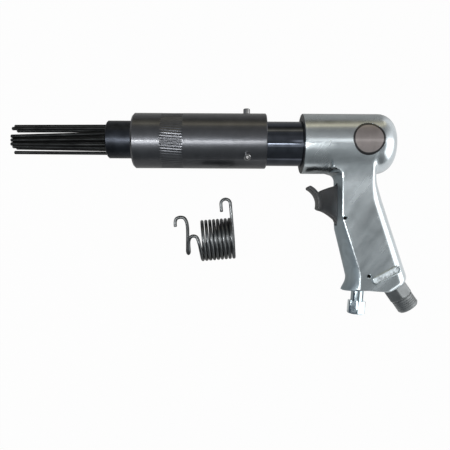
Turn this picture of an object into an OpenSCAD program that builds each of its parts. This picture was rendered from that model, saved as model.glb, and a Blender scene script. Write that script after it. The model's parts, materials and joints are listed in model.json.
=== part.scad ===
// Pistol-grip pneumatic needle scaler lying on its right side, with its loose chisel retainer spring.
// X runs along the barrel to the back, Y from the grip up to the barrel, Z up from the bench. Millimetres.
// Sizes along the tool count from the front face of the head on the barrel axis.

/* [Head] */
// Radius of the round head
head_r = 26.1; // [25.6:0.1:28]
// Length of the head
head_len = 80.2; // [78:0.1:88]
// Radius of the rounded back edge of the head
head_round = 15; // [8:0.1:17]
// Radius of the round label
badge_r = 13.4; // [9:0.1:14]
// Centre of the label behind the front face
badge_x = 53; // [46:0.1:56]
// Turn of the label up from the side, in degrees
badge_turn = 2.5; // [0:0.5:15]
// Thickness of the label
badge_t = 0.8; // [0.6:0.05:1]

/* [Grip] */
// Thickness of the grip
grip_t = 36; // [34:0.1:38]
// Drop of the base below the barrel axis, at the regulator
base_y = 126.6; // [124:0.1:130]
// Front face of the grip beside the trigger
face_x = 31; // [30:0.1:33]
// Tilt of the base, in degrees
base_tilt = 3.5; // [2:0.1:5]
// Drop of the finger rest below the trigger
rest_y = 72; // [71:0.1:75]
// How far the finger rest stands in front of the front face
rest_out = 1.3; // [0.5:0.1:3]
// Drop of the waist above the toe
waist_y = 114; // [108:0.1:115]
// Rake of the front from finger rest to waist, in degrees
front_rake = 13.4; // [9:0.1:14]
// How far the toe runs forward of the waist
toe_flare = 3.6; // [1:0.1:5]
// Drop of the knee where the side edge starts to rake back
knee_y = 65; // [62:0.1:68]
// Setback of the side edge from the front face
ridge_set = 3.3; // [1:0.1:4]
// Rake of the side edge below the knee, in degrees
ridge_rake = 18.9; // [17:0.1:21]
// Back of the grip at its neck
back_x = 64.6; // [64:0.1:66]
// Drop of the neck at the back
neck_y = 33; // [31:0.1:35]
// Rake of the back, in degrees
back_rake = 18.2; // [17.8:0.1:20]
// Depth of the rounded back
back_round = 10.4; // [9:0.1:12]
// Depth of the rounded back at the neck
neck_round = 6; // [5:0.1:8]
// Fillet between the head and the front of the grip
neck_fillet = 7.5; // [5:0.1:9]
// Sweep of the side edge under the head
ridge_sweep = 8; // [5:0.1:9]
// Length of the bare pad on the side
pad_len = 25; // [18:0.5:26]
// Width of the pad
pad_w = 6.8; // [5:0.1:8]
// Height of the raised rim of the pad
pad_h = 0.7; // [0.4:0.1:1]

/* [Barrel] */
// Diameter of the barrel
barrel_d = 38.6; // [37.8:0.1:39]
// Length of the barrel in front of the head
barrel_out = 79; // [76:0.1:82]
// Depth of the barrel in the head
barrel_seat = 44; // [42:0.1:45]
// Diameter of the barrel nose that a retainer spring fits on
nose_d = 30.6; // [29:0.1:31]
// Length of the barrel nose
nose_len = 19; // [14:0.5:22]
// Diameter of the hammer bore
bore_d = 19.1; // [18:0.1:20]
// Length of the piston
piston_len = 32; // [28:0.5:34]
// Diameter of the anvil shank
shank_d = 10.2; // [9.5:0.1:11]
// Length of the anvil shank
shank_len = 31; // [29:0.5:33]
// Thickness of the anvil flange
anvil_t = 7.9; // [7:0.1:9]

/* [Needle head] */
// Wall of the needle housing round the barrel
housing_wall = 2.4; // [1.8:0.1:3.5]
// Bare barrel between the head and the housing
barrel_gap = 31.2; // [28:0.1:34]
// Length of the needle housing
housing_len = 115.5; // [112:0.1:118]
// Back end of the knurled band
knurl_x = 103.1; // [100:0.1:108]
// Length of the knurled band
knurl_len = 18.5; // [14:0.1:22]
// Pitch of the knurl
knurl_pitch = 2.4; // [2:0.1:4]
// Depth of the knurl grooves
knurl_depth = 0.6; // [0.3:0.1:0.8]
// Distance of the set screws from the head
screw_x = 48; // [44:0.1:54]
// Diameter of the set screws
screw_d = 6; // [5:0.5:7]
// How far the set screws stand out
screw_out = 4.4; // [3:0.1:4.5]
// Turn from the top set screw to each lower one, in degrees
screw_turn = 128; // [115:1:130]
// How far the housing sits above the barrel axis
housing_rise = 2.2; // [1.5:0.1:2.3]
// How far the nozzle and needles sit above the housing axis
nozzle_rise = 0.9; // [0:0.1:1]
// Wall of the nozzle round the needles
nozzle_wall = 2.1; // [1.6:0.1:2.6]
// How far the nozzle stands out
nozzle_out = 22.5; // [18:0.1:26]
// Length of a needle
needle_len = 165; // [150:1:180]
// Diameter of a needle
needle_d = 3; // [2.5:0.1:3]
// Pitch of the needle pattern
needle_pitch = 6.15; // [6:0.05:6.2]
// Share by which the middle needles lean together across the tool at their tips
needle_lean = 0.46; // [0:0.01:0.48]
// Share by which they lean together up and down
needle_close = 0.25; // [0:0.01:0.3]
// How far the tips of the outer needles droop
needle_droop = 0.4; // [0:0.1:1]

/* [Trigger and air] */
// Trigger pin behind the front face of the head
pin_x = 35.2; // [35:0.1:36]
// Trigger pin below the barrel axis
pin_y = 65; // [64.5:0.1:65.5]
// Diameter of the spring pins
pin_d = 3; // [2.5:0.1:3.2]
// Radius of the finger curve
finger_r = 14.4; // [13.8:0.1:15]
// Thickness of the finger blade
blade_t = 3.2; // [2.6:0.1:4]
// Width of the finger blade
blade_w = 17; // [14:0.5:20]
// Thickness of the trigger web
web_t = 9.8; // [8:0.1:10]
// Throttle valve below the barrel axis
valve_y = 47.5; // [47:0.1:48]
// Regulator axis behind the front face of the head
reg_x = 50.6; // [50:0.1:51.5]
// Tilt of the regulator, in degrees
reg_tilt = 5; // [4.5:0.1:5.5]
// Diameter of the regulator stem
reg_d = 11; // [10.5:0.1:11.5]
// Width across flats of the regulator knob
knob_af = 14; // [12.5:0.1:16]
// Length of the regulator knob
knob_len = 11.4; // [9:0.1:14]
// Length of the regulator neck between base and knob
reg_neck = 10.8; // [8:0.1:12]
// Inlet centre behind the front face of the head
inlet_x = 81.9; // [81.5:0.1:83]
// Inlet centre below the barrel axis
inlet_y = 123.8; // [123:0.1:124.5]
// Lean of the inlet to the back, in degrees
inlet_lean = 35; // [33:0.5:38]
// Width across flats of the inlet hexagon
inlet_af = 19; // [17:0.5:20]
// Length of the inlet hexagon
inlet_hex = 15; // [12:0.5:18]
// Length of the round end of the inlet
inlet_end = 8.5; // [5:0.5:10]

/* [Retainer spring] */
// Wire of the retainer spring
ret_wire = 2.9; // [2.4:0.1:2.9]
// Mean radius of the retainer coil
ret_r = 17; // [16.5:0.1:18.5]
// Pitch of the retainer coil
ret_pitch = 3.48; // [3.45:0.01:3.7]
// Centre of the retainer in front of the head
ret_x = 72.3; // [60:0.1:80]
// Centre of the retainer below the barrel axis
ret_y = 84.4; // [80:0.1:90]
// Turn of the retainer on the bench, in degrees
ret_turn = 5; // [0:0.5:10]

/* [Hidden] */
$fn = 64;
run_fit = 0.1;
slide_fit = 0.2;
ends_fit = 0.05;
hex_k = 1 / cos(30);

// Grip outlines as height and distance behind the front face of the head
rest_x = face_x - rest_out;
waist_x = rest_x + (waist_y - rest_y) * tan(front_rake);
ridge_low = waist_y - 9;
ridge_x = face_x + ridge_set;
ridge_end = ridge_x + (ridge_low - knee_y) * tan(ridge_rake);
grip_low = 152;
front_line = [[-grip_low, waist_x - toe_flare], [-base_y, waist_x - toe_flare], [-waist_y, waist_x],
    [-rest_y, rest_x], [6 - rest_y, face_x], [0, face_x]];
ridge_line = [[-grip_low, ridge_end], [-ridge_low, ridge_end], [-knee_y, ridge_x], [0, ridge_x]];
back_line = [[-grip_low, back_x + (grip_low - neck_y) * tan(back_rake)], [-neck_y, back_x], [0, back_x - 1]];
round_line = [[-grip_low, back_round], [-neck_y - 20, back_round], [-head_r, neck_round], [0, neck_round]];
pad_x = 70.2;
pad_y = 113.2;
pad_turn = 28;
pad_rim = 1.1;
pad_face = 0.3;
flare_start = 32;
flare_rise = 0.009;
sweep_end = 22.5;
front_turn = 55;
pin_sink = 2.5;

// Places along the barrel
barrel_r = barrel_d / 2;
chamber_r = barrel_r + housing_rise + run_fit;
housing_r = chamber_r + housing_wall;
housing_front = -barrel_gap - housing_len;
housing_lip = 7;
knurl_set = 0.1;
lip_x = housing_front + housing_lip;
nozzle_flange = 5;
needle_play = 0.5;
hole_fit = 0.6;
nozzle_bore = 2 * needle_pitch + needle_d / 2 + needle_play;
nozzle_r = nozzle_bore + nozzle_wall;
nozzle_cut = 0.8;
back_cut = 0.8;
front_cut = 1.7;
anvil_face = -barrel_out - anvil_t;
anvil_r = barrel_r - 1.3;
needle_back = anvil_face - run_fit;
needle_head_t = 3;
needle_head_d = needle_d + 1.8;
holder_back = needle_back - needle_head_t - run_fit;
holder_t = 9;
nose_bore_len = 26;
needle_stroke = 8;

// Valve places behind the barrel
case_r = 17;
case_len = 14;
plate_t = 8;
disc_r = 12;
disc_t = 2.2;
disc_lift = 1;
disc_room = disc_t + disc_lift + 2 * run_fit;
case_bore = 5;
case_groove_x = 5;
case_groove_w = 4.5;
case_groove_t = 1.6;
plate_bore = 4;
plate_floor = 3;
port_r = 1.5;
port_ring = 8;
dowel_r = 1.2;
dowel_y = 14.4;

// Throttle places behind the slot
web_back = pin_x + 4.8;
web_top = 36.4;
web_nose = 4.9;
heel_r = 6.2;
heel_start = 195;
slot_gap = 1.8;
slot_half = web_t / 2 + 0.5;
slot_back = web_back + 5.5;
slot_top = web_top - slot_gap;
slot_low = pin_y + heel_r + slot_gap;
throttle_r = 5.5;
throttle_end = 66;
bush_t = 3;
seat_x = 53;
seat_t = 3;
seal_t = 1.4;
stem_r = 2.5;
stem_tip = web_back + 0.3;
valve_head_t = 2;
valve_back = seat_x + seat_t + run_fit + seal_t + valve_head_t;
finger_x = -0.4;
finger_y = 52.9;

// Regulator and inlet places
reg_depth = 42;
reg_groove = 12.6;
reg_pin_set = 3.9;
reg_seal = 26;
shank_r = 8;
inlet_shank = 12;
pipe_r = 5.75;
pipe_len = 14;
air_r = 4;
screen_t = 1.2;
ring_pitch = 2;

// The whole stands on the bench with its middle over the origin
low_x = needle_back - needle_len;
inlet_out = inlet_hex + inlet_end;
inlet_r = inlet_af / 2 - 0.2;
high_x = inlet_x + inlet_out * sin(inlet_lean) + inlet_r * cos(inlet_lean);
knob_low = base_y + (reg_neck + knob_len) * cos(reg_tilt) + knob_af / 2 * sin(reg_tilt);
inlet_low = inlet_y + inlet_out * cos(inlet_lean) + inlet_r * sin(inlet_lean);
high_y = housing_rise + housing_r + screw_out;
shift = [-(low_x + high_x) / 2, (max(knob_low, inlet_low) - high_y) / 2, head_r];

// Places of children

module place() translate(shift) children();

module along_x(x) translate([x, 0, 0]) rotate([0, 90, 0]) children();

module rod(x0, x1, r) along_x(x0) cylinder(r = r, h = x1 - x0);

module tube(x0, x1, r_out, r_in) difference() {
    rod(x0, x1, r_out);
    rod(x0 - 1, x1 + 1, r_in);
}

// Z of the children runs from the base up into the grip
module at_base() translate([reg_x, -base_y, 0]) rotate([0, 0, -base_tilt]) children();

module at_regulator() translate([reg_x, -base_y, 0]) rotate([0, 0, -reg_tilt]) rotate([-90, 0, 0]) children();

// Z of the children runs out of the inlet
module at_inlet() translate([inlet_x, -inlet_y, 0]) rotate([0, 0, inlet_lean]) rotate([90, 0, 0]) children();

module spring_pin(len) linear_extrude(len, center = true) difference() {
    circle(pin_d / 2);
    circle(pin_d / 2 - 0.6);
    translate([0, -0.3]) square([pin_d, 0.6]);
}

// Swept wires

function unit(v) = v / norm(v);

function heading(path, i) = unit(path[min(i + 1, len(path) - 1)] - path[max(i - 1, 0)]);

function carried(n, t) = unit(n - (n * t) * t);

function sides_of(path) = [
    for (i = 0, n = carried([0.31, 0.42, 0.85], heading(path, 0)); i < len(path);
        n = carried(n, heading(path, min(i + 1, len(path) - 1))), i = i + 1) n
];

function ring_faces(rings, sides) = [
    for (i = [0 : rings - 2], j = [0 : sides - 1], half = [0, 1])
        let (a = i * sides + j, b = i * sides + (j + 1) % sides)
        half == 0 ? [a, b, a + sides] : [b, b + sides, a + sides]
];

module wire(path, r, sides) {
    side = sides_of(path);
    points = [
        for (i = [0 : len(path) - 1], j = [0 : sides - 1])
            let (n = side[i], t = heading(path, i), a = -360 * j / sides)
            path[i] + r * (cos(a) * n + sin(a) * cross(t, n))
    ];
    last = (len(path) - 1) * sides;
    front_end = [for (j = [sides - 1 : -1 : 0]) j];
    back_end = [for (j = [0 : sides - 1]) last + j];
    polyhedron(points, concat([front_end], ring_faces(len(path), sides), [back_end]));
}

// Least distance between stretches of a path that lie more than a given count of points apart
function least_gap(path, skip) = min([
    for (i = [0 : len(path) - 1], j = [i + skip : 1 : len(path) - 1]) norm(path[i] - path[j])
]);

// Helix along X from x0 to x1 about the height y
function helix(x0, x1, y, r, turns, rings) = [
    for (i = [0 : turns * rings])
        let (a = 360 * i / rings)
        [x0 + (x1 - x0) * i / (turns * rings), y + r * cos(a), r * sin(a)]
];

// Smooth curve through points, with the given count of steps between two of them
function bend(p, i, t) =
    let (a = p[max(i - 1, 0)], b = p[i], c = p[i + 1], d = p[min(i + 2, len(p) - 1)])
    0.5 * (2 * b + t * (c - a) + t * t * (2 * a - 5 * b + 4 * c - d) + t * t * t * (3 * b - a - 3 * c + d));

function curve(p, steps) = concat([for (i = [0 : len(p) - 2], k = [0 : steps - 1]) bend(p, i, k / steps)],
    [p[len(p) - 1]]);

// Handle

function eased(y, line) = (lookup(y - 4, line) + lookup(y - 2, line) + lookup(y, line) + lookup(y + 2, line)
    + lookup(y + 4, line)) / 5;

// Setback at a height below a quarter round of the given radius that ends at the given drop
function fillet_at(y, r, end) = let (d = max(0, min(r, y + end + r))) r - sqrt(r * r - d * d);

function half_at(y) = grip_t / 2 + flare_rise * pow(max(0, y + flare_start), 2);

function grip_ring(y) =
    let (front = eased(y, front_line) - fillet_at(y, neck_fillet, head_r),
        ridge = eased(y, ridge_line) - fillet_at(y, ridge_sweep, sweep_end),
        back = eased(y, back_line), shoulder = back - eased(y, round_line), half = half_at(y))
    concat(
        [for (a = [-front_turn : front_turn / 6 : front_turn])
            let (share = (1 - cos(a)) / (1 - cos(front_turn)))
            [front + (ridge - front) * share, y, half * sin(a) / sin(front_turn)]],
        [for (a = [0 : 10 : 180]) [shoulder + (back - shoulder) * sin(a), y, half * cos(a)]]
    );

module grip_body() {
    heights = concat([for (y = [-12 : -3 : -18]) y], [for (y = [-20 : -1.25 : -35]) y],
        [for (y = [-38 : -4 : -grip_low + 2]) y]);
    rings = [for (y = heights) grip_ring(y)];
    count = len(rings[0]);
    points = [for (ring = rings, p = ring) p];
    last = (len(rings) - 1) * count;
    top_end = [for (j = [count - 1 : -1 : 0]) j];
    low_end = [for (j = [0 : count - 1]) last + j];
    difference() {
        polyhedron(points, concat([top_end], ring_faces(len(rings), count), [low_end]));
        at_base() translate([-150, -200, -150]) cube([300, 200, 300]);
        at_inlet() translate([-60, -60, 0]) cube([120, 120, 80]);
    }
}

module head_body() along_x(0) rotate_extrude() {
    square([head_r, head_len - head_round]);
    square([head_r - head_round, head_len]);
    translate([head_r - head_round, head_len - head_round]) intersection() {
        circle(head_round);
        square(head_round);
    }
}

// Bare pad with a raised rim on the side of the grip above the inlet
module pill(w) {
    square([pad_len - pad_w, w], center = true);
    for (side = [-1, 1]) translate([side * (pad_len - pad_w) / 2, 0]) circle(w / 2);
}

module side_pad() translate([pad_x, -pad_y, grip_t / 2]) rotate([0, 0, pad_turn]) difference() {
    translate([0, 0, -1]) linear_extrude(1 + pad_h) pill(pad_w);
    translate([0, 0, pad_face]) linear_extrude(2) pill(pad_w - 2 * pad_rim);
}

module badge_disc(r, low, high) intersection() {
    tube(badge_x - 2 * badge_r, badge_x + 2 * badge_r, high, low);
    translate([badge_x, 0, 0]) rotate([-badge_turn, 0, 0]) cylinder(r = r, h = head_r + 5);
}

module air_ways() {
    translate([0, -valve_y, 0]) rod(slot_back - 1, throttle_end, throttle_r);
    translate([seat_x - 2.5, -valve_y, 0]) rotate([-90, 0, 0]) cylinder(r = 2.2, h = valve_y - case_r + 2);
    at_regulator() translate([0, 0, -1]) cylinder(r = reg_d / 2 + run_fit, h = reg_depth + 1);
    at_inlet() translate([0, 0, -inlet_shank - screen_t]) cylinder(r = shank_r + ends_fit, h = 40);
    at_inlet() translate([0, 0, -48]) cylinder(r = air_r, h = 45);
    rise = [throttle_end - 4 - reg_x - reg_depth * sin(reg_tilt),
        base_y - reg_depth * cos(reg_tilt) - valve_y];
    at_regulator() translate([0, 0, reg_depth - 2]) rotate([0, atan2(rise[0], rise[1]) - reg_tilt, 0])
        cylinder(r = 3, h = norm(rise) + 2);
}

module handle() color("silver") place() difference() {
    union() {
        head_body();
        grip_body();
        side_pad();
    }
    rod(-1, barrel_seat, barrel_r + ends_fit);
    rod(barrel_seat - 1, barrel_seat + case_len + plate_t, case_r);
    badge_disc(badge_r + 0.2, head_r - 0.5, head_r + 5);
    translate([20, -slot_low, -slot_half]) cube([slot_back - 20, slot_low - slot_top, 2 * slot_half]);
    air_ways();
    translate([pin_x, -pin_y, 0]) cylinder(r = pin_d / 2, h = 80, center = true);
    at_regulator() translate([reg_pin_set, 0, reg_groove]) rotate([90, 0, 0])
        cylinder(r = pin_d / 2, h = 80, center = true);
}

module side_badge() color("gainsboro") place()
    badge_disc(badge_r, head_r - 0.5, head_r - 0.5 + badge_t);

// Barrel and valve

module barrel() color("dimgray") place() difference() {
    union() {
        rod(-barrel_out, barrel_seat, nose_d / 2);
        rod(-barrel_out + nose_len, barrel_seat, barrel_r);
    }
    rod(-barrel_out + nose_bore_len, barrel_seat + 1, bore_d / 2);
    rod(-barrel_out - 1, barrel_seat, shank_d / 2 + ends_fit);
}

module valve_dowel() color("darkgray") place()
    translate([0, dowel_y, 0]) rod(barrel_seat + case_len - 6, barrel_seat + case_len + 6, dowel_r);

module valve_case() color("slategray") place() difference() {
    rod(barrel_seat, barrel_seat + case_len, case_r - ends_fit);
    rod(barrel_seat - 1, barrel_seat + case_len, case_bore);
    rod(barrel_seat + case_len - disc_room, barrel_seat + case_len + 1, disc_r + slide_fit);
    groove = barrel_seat + case_groove_x;
    tube(groove, groove + case_groove_w, case_r + 2, case_r - case_groove_t);
    translate([0, dowel_y, 0]) rod(barrel_seat + case_len - 6, barrel_seat + case_len + 1, dowel_r);
}

module valve_back_plate() color("slategray") place() difference() {
    rod(barrel_seat + case_len, barrel_seat + case_len + plate_t, case_r - ends_fit);
    rod(barrel_seat + case_len - 1, barrel_seat + case_len + plate_t - plate_floor, plate_bore);
    for (a = [0 : 60 : 300]) rotate([a, 0, 0]) translate([0, port_ring, 0])
        rod(barrel_seat + case_len - 1, barrel_seat + case_len + plate_t + 1, port_r);
    translate([0, dowel_y, 0]) rod(barrel_seat + case_len - 1, barrel_seat + case_len + 6, dowel_r);
}

module valve_disc() color("lightsteelblue") place()
    tube(barrel_seat + case_len - disc_t - run_fit, barrel_seat + case_len - run_fit, disc_r, 2.5);

module piston() color("lightgray") place() difference() {
    union() {
        rod(barrel_seat - 1 - piston_len, barrel_seat - 1, bore_d / 2 - ends_fit - 1.5);
        rod(barrel_seat + 1 - piston_len, barrel_seat - 3, bore_d / 2 - ends_fit);
    }
    for (x = [6, 12, 18]) tube(barrel_seat - piston_len + x, barrel_seat - piston_len + x + 1.2, bore_d, 8.8);
}

module anvil() color("gray") place() {
    rod(-barrel_out - 1, -barrel_out + shank_len, shank_d / 2);
    rod(anvil_face, -barrel_out, anvil_r);
}

// Needle head, which sits above the barrel axis as its set screws hold it

module at_housing() translate([0, housing_rise, 0]) children();

module at_nozzle() translate([0, housing_rise + nozzle_rise, 0]) children();

module needle_housing() color("dimgray") place() at_housing() {
    knurl_back = -knurl_x;
    knurl_front = -knurl_x - knurl_len;
    teeth = round(2 * PI * housing_r / knurl_pitch);
    difference() {
        union() {
            rod(knurl_back, -barrel_gap - back_cut, housing_r);
            along_x(-barrel_gap - back_cut) cylinder(r1 = housing_r, r2 = housing_r - back_cut, h = back_cut);
            along_x(knurl_front) linear_extrude(knurl_len) polygon([
                for (i = [0 : 2 * teeth - 1]) let (a = 180 * i / teeth)
                    (housing_r - knurl_set - (i % 2) * knurl_depth) * [cos(a), sin(a)]
            ]);
            rod(housing_front + front_cut, knurl_front, housing_r);
            along_x(housing_front) cylinder(r1 = housing_r - front_cut, r2 = housing_r, h = front_cut);
        }
        rod(lip_x, -barrel_gap + 1, chamber_r);
        rod(housing_front - 1, lip_x + 1, nozzle_r + nozzle_rise + ends_fit);
        for (a = screw_turns) at_screw(a) cylinder(r = screw_d / 2, h = 20);
    }
}

screw_turns = [0, screw_turn, -screw_turn];

// Distance of the barrel from the housing axis along the turn of a screw
function screw_low(a) = let (c = housing_rise * cos(a)) slide_fit - c
    + sqrt(c * c + barrel_r * barrel_r - housing_rise * housing_rise);

// Z of the children runs out of the housing from the barrel
module at_screw(a) rotate([a, 0, 0]) translate([-screw_x, screw_low(a), 0]) rotate([-90, 0, 0]) children();

module set_screws() color("black") place() at_housing() for (a = screw_turns) at_screw(a) {
    len = housing_r - screw_low(a) + screw_out;
    difference() {
        union() {
            cylinder(r1 = screw_d / 2 - 1, r2 = screw_d / 2 - ends_fit, h = 1);
            translate([0, 0, 1]) cylinder(r = screw_d / 2 - ends_fit, h = len - 1.5);
            translate([0, 0, len - 0.5])
                cylinder(r1 = screw_d / 2 - ends_fit, r2 = screw_d / 2 - 0.5, h = 0.5);
        }
        translate([0, 0, len - 3.5]) cylinder(r = screw_d / 4 * hex_k, h = 4, $fn = 6);
    }
}

module nozzle() color("darkslategray") place() at_nozzle() difference() {
    union() {
        rod(lip_x, lip_x + nozzle_flange, chamber_r - nozzle_rise - ends_fit);
        rod(housing_front - nozzle_out + nozzle_cut, lip_x + 1, nozzle_r);
        along_x(housing_front - nozzle_out)
            cylinder(r1 = nozzle_r - nozzle_cut, r2 = nozzle_r, h = nozzle_cut);
    }
    rod(housing_front - nozzle_out - 1, lip_x + nozzle_flange + 1, nozzle_bore);
}

// Needles stand in a corner-up hexagon pattern
needle_spots = [
    for (i = [-2 : 2], j = [-2 : 2]) if (abs(i + j) <= 2)
        needle_pitch * [i + j / 2, j * sqrt(3) / 2]
];

// The outer needles stand apart from the middle ones
function is_outer(spot) = spot[0] > 1.25 * needle_pitch || spot[0] < -1.75 * needle_pitch;

// Side step of a needle's tip, with the middle needles leaning together
function tip_step(spot) = is_outer(spot) ? [-needle_droop - 0.07 * spot[0], 0]
    : [needle_lean * (-0.8 * needle_pitch - spot[0]), -needle_close * spot[1]];

module needle_holder() color("gray") place() difference() {
    at_housing() rod(holder_back - holder_t, holder_back, chamber_r - slide_fit);
    for (spot = needle_spots) at_nozzle() translate([0, spot[0], spot[1]])
        rod(holder_back - holder_t - 1, holder_back + 1, needle_d / 2 + hole_fit);
}

module needles() color("black") place() at_nozzle() for (spot = needle_spots)
    let (step = tip_step(spot)) translate([needle_back, spot[0], spot[1]])
    rotate([0, atan(step[1] / needle_len), -atan(step[0] / needle_len)]) rotate([0, -90, 0]) {
        cylinder(r = needle_head_d / 2, h = needle_head_t);
        cylinder(r = needle_d / 2, h = needle_len - 0.6);
        translate([0, 0, needle_len - 0.6]) cylinder(r1 = needle_d / 2, r2 = needle_d / 2 - 0.5, h = 0.6);
    }

needle_wire = 1.2;
needle_coil_gap = 2.4;
needle_coil_r = chamber_r - needle_coil_gap - needle_wire;
needle_coil = helix(holder_back - holder_t - needle_wire - ends_fit,
    lip_x + nozzle_flange + needle_wire + ends_fit, housing_rise, needle_coil_r, 5, 16);
echo(needle_spring_gap = least_gap(needle_coil, 12) - 2 * needle_wire);

module needle_spring() color("darkgray") place() wire(needle_coil, needle_wire, 8);

// Trigger and throttle

module blade_outline() translate([finger_x, -finger_y]) {
    middle = finger_r + blade_t / 2;
    low = -12;
    high = 62;
    intersection() {
        difference() {
            circle(finger_r + blade_t);
            circle(finger_r);
        }
        polygon([[0, 0], for (a = [low, 20, high]) 40 * [cos(a), sin(a)]]);
    }
    for (a = [low, high]) translate(middle * [cos(a), sin(a)]) circle(blade_t / 2);
}

// Curve between two points that leaves the first one along X
function swoop(p, q) = [
    for (t = [0 : 0.2 : 1]) [p[0] + (q[0] - p[0]) * t, p[1] + (q[1] - p[1]) * pow(t, 1.6)]
];

function turned(centre, r, a) = centre + r * [cos(a), sin(a)];

module web_outline() {
    finger = [finger_x, -finger_y];
    pin = [pin_x, -pin_y];
    middle = finger_r + blade_t / 2;
    polygon(concat(
        [[web_back, -web_top]],
        swoop([pin_x - 1.2, -web_top], [finger_x + finger_r + 2.6, -web_top - web_nose]),
        [for (a = [25, 5, -10, -20]) turned(finger, middle, a)],
        swoop(turned(finger, middle, -20), turned(pin, heel_r, heel_start)),
        [for (a = [heel_start + 20 : 20 : 290]) turned(pin, heel_r, a)],
        [[web_back, -pin_y - 2]]
    ));
}

module trigger() color("black") place() difference() {
    union() {
        linear_extrude(blade_w, center = true) blade_outline();
        linear_extrude(web_t, center = true) web_outline();
    }
    translate([pin_x, -pin_y, 0]) cylinder(r = pin_d / 2 + ends_fit, h = 40, center = true);
}

module trigger_pin() color("dimgray") place() translate([pin_x, -pin_y, 0])
    spring_pin(grip_t - 2 * pin_sink);

module throttle_bush() color("goldenrod") place() translate([0, -valve_y, 0])
    tube(slot_back, slot_back + bush_t, throttle_r - ends_fit, stem_r + ends_fit);

module throttle_seat() color("goldenrod") place() translate([0, -valve_y, 0])
    tube(seat_x, seat_x + seat_t, throttle_r - ends_fit, stem_r + 1);

module throttle_valve() color("lightgray") place() translate([0, -valve_y, 0]) {
    translate([stem_tip + stem_r, 0, 0]) sphere(stem_r);
    rod(stem_tip + stem_r, valve_back, stem_r);
    rod(valve_back - valve_head_t, valve_back, 4.6);
}

module throttle_seal() color("black") place() translate([0, -valve_y, 0])
    tube(valve_back - valve_head_t - seal_t, valve_back - valve_head_t, 4.4, stem_r);

throttle_wire = 0.4;
throttle_coil = helix(valve_back + throttle_wire + ends_fit, throttle_end - throttle_wire - ends_fit,
    -valve_y, 3.4, 4, 12);
echo(throttle_spring_gap = least_gap(throttle_coil, 9) - 2 * throttle_wire);

module throttle_spring() color("silver") place() wire(throttle_coil, throttle_wire, 6);

// Regulator and inlet

module air_regulator() color("lightgray") place() at_regulator() difference() {
    union() {
        translate([0, 0, -reg_neck - knob_len]) rotate([0, 0, 12])
            cylinder(r = knob_af / 2 * hex_k, h = knob_len, $fn = 6);
        translate([0, 0, -reg_neck - 0.5]) cylinder(r = reg_d / 2, h = reg_neck + reg_depth);
    }
    translate([0, 0, reg_groove - pin_d / 2 - 0.2]) difference() {
        cylinder(r = reg_d, h = pin_d + 0.4);
        cylinder(r = reg_pin_set - pin_d / 2 - 0.2, h = pin_d + 0.4);
    }
    translate([0, 0, reg_seal]) difference() {
        cylinder(r = reg_d, h = 2);
        cylinder(r = reg_d / 2 - 1.4, h = 2);
    }
    translate([0, -10, reg_depth - 10]) cube([20, 20, 20]);
    translate([-20, -0.6, -reg_neck - knob_len - 1]) cube([40, 1.2, 3]);
}

module regulator_seal() color("black") place() at_regulator() translate([0, 0, reg_seal + 1]) rotate_extrude()
    translate([reg_d / 2 - 0.55, 0]) circle(0.6);

module regulator_pin() color("dimgray") place() at_regulator() translate([reg_pin_set, 0, reg_groove])
    rotate([90, 0, 0]) spring_pin(grip_t - 2 * pin_sink);

module inlet_bushing() color("gray") place() at_inlet() difference() {
    union() {
        translate([0, 0, -inlet_shank]) cylinder(r = shank_r, h = inlet_shank + 1);
        intersection() {
            cylinder(r = inlet_af / 2 * hex_k, h = inlet_hex, $fn = 6);
            translate([0, 0, -6])
                cylinder(r1 = inlet_af / 2 * hex_k + 8, r2 = inlet_af / 2 - 0.6, h = inlet_hex + 6);
        }
        translate([0, 0, inlet_hex - 1]) cylinder(r = inlet_r, h = inlet_end);
        translate([0, 0, inlet_hex + inlet_end - 1]) cylinder(r1 = inlet_r, r2 = inlet_r - 1, h = 1);
    }
    for (z = [inlet_hex + 1.5 : ring_pitch : inlet_out - 2]) translate([0, 0, z]) difference() {
        cylinder(r = inlet_r + 1, h = ring_pitch / 2);
        translate([0, 0, -1]) cylinder(r = inlet_r - 0.4, h = ring_pitch);
    }
    translate([0, 0, inlet_out - pipe_len]) cylinder(r = pipe_r, h = pipe_len + 1);
    translate([0, 0, -inlet_shank - 1]) cylinder(r = air_r + 0.5, h = 40);
}

module inlet_screen() color("silver") place() at_inlet() translate([0, 0, -inlet_shank - screen_t])
    difference() {
        cylinder(r = shank_r, h = screen_t);
        for (i = [-1 : 1], j = [-1 : 1])
            translate([i * 2.3, j * 2.3, -1]) cylinder(r = 0.8, h = screen_t + 2);
    }

// Retainer spring: hooked front end, coil and hooked back end of one wire

ret_low = ret_wire / 2;
ret_mid = ret_low + ret_r;
coil_start = -15.2;

function on_coil(x, a) = [x, ret_r * cos(a), ret_mid + ret_r * sin(a)];

front_hook = [[-37.4, 14.6, 20], [-37, 19, 20.3], [-35.5, 21.6, 20.8], [-31.9, 22.4, 21.4], [-28.6, 21.2, 22],
    [-26.9, 17.7, 22.6], [-26.4, 13.2, 23.2], [-26.5, 8.7, 23.8], [-27, 2.2, 24.8], [-27.5, -4.5, 26],
    [-27.7, -8.2, 27.2], [-27, -9.9, 28.8], [-26.1, -8.2, 30.4], [-25.9, -2.4, 31.8], [-25.2, 2, 33],
    [-23.2, 4.5, 34], [-20.5, 4.9, 34.6], on_coil(-18, 79), on_coil(-16.5, 98), on_coil(-15.7, 125),
    on_coil(-15.4, 152)];
coil_turns = 8.25;
coil_rings = 16;
coil = [for (i = [0 : coil_turns * coil_rings])
    on_coil(coil_start + ret_pitch * i / coil_rings, 180 + 360 * i / coil_rings)];
arm_x = coil_start + ret_pitch * coil_turns;
hook_r = 4.4;
hook_y = 31.8;
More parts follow.
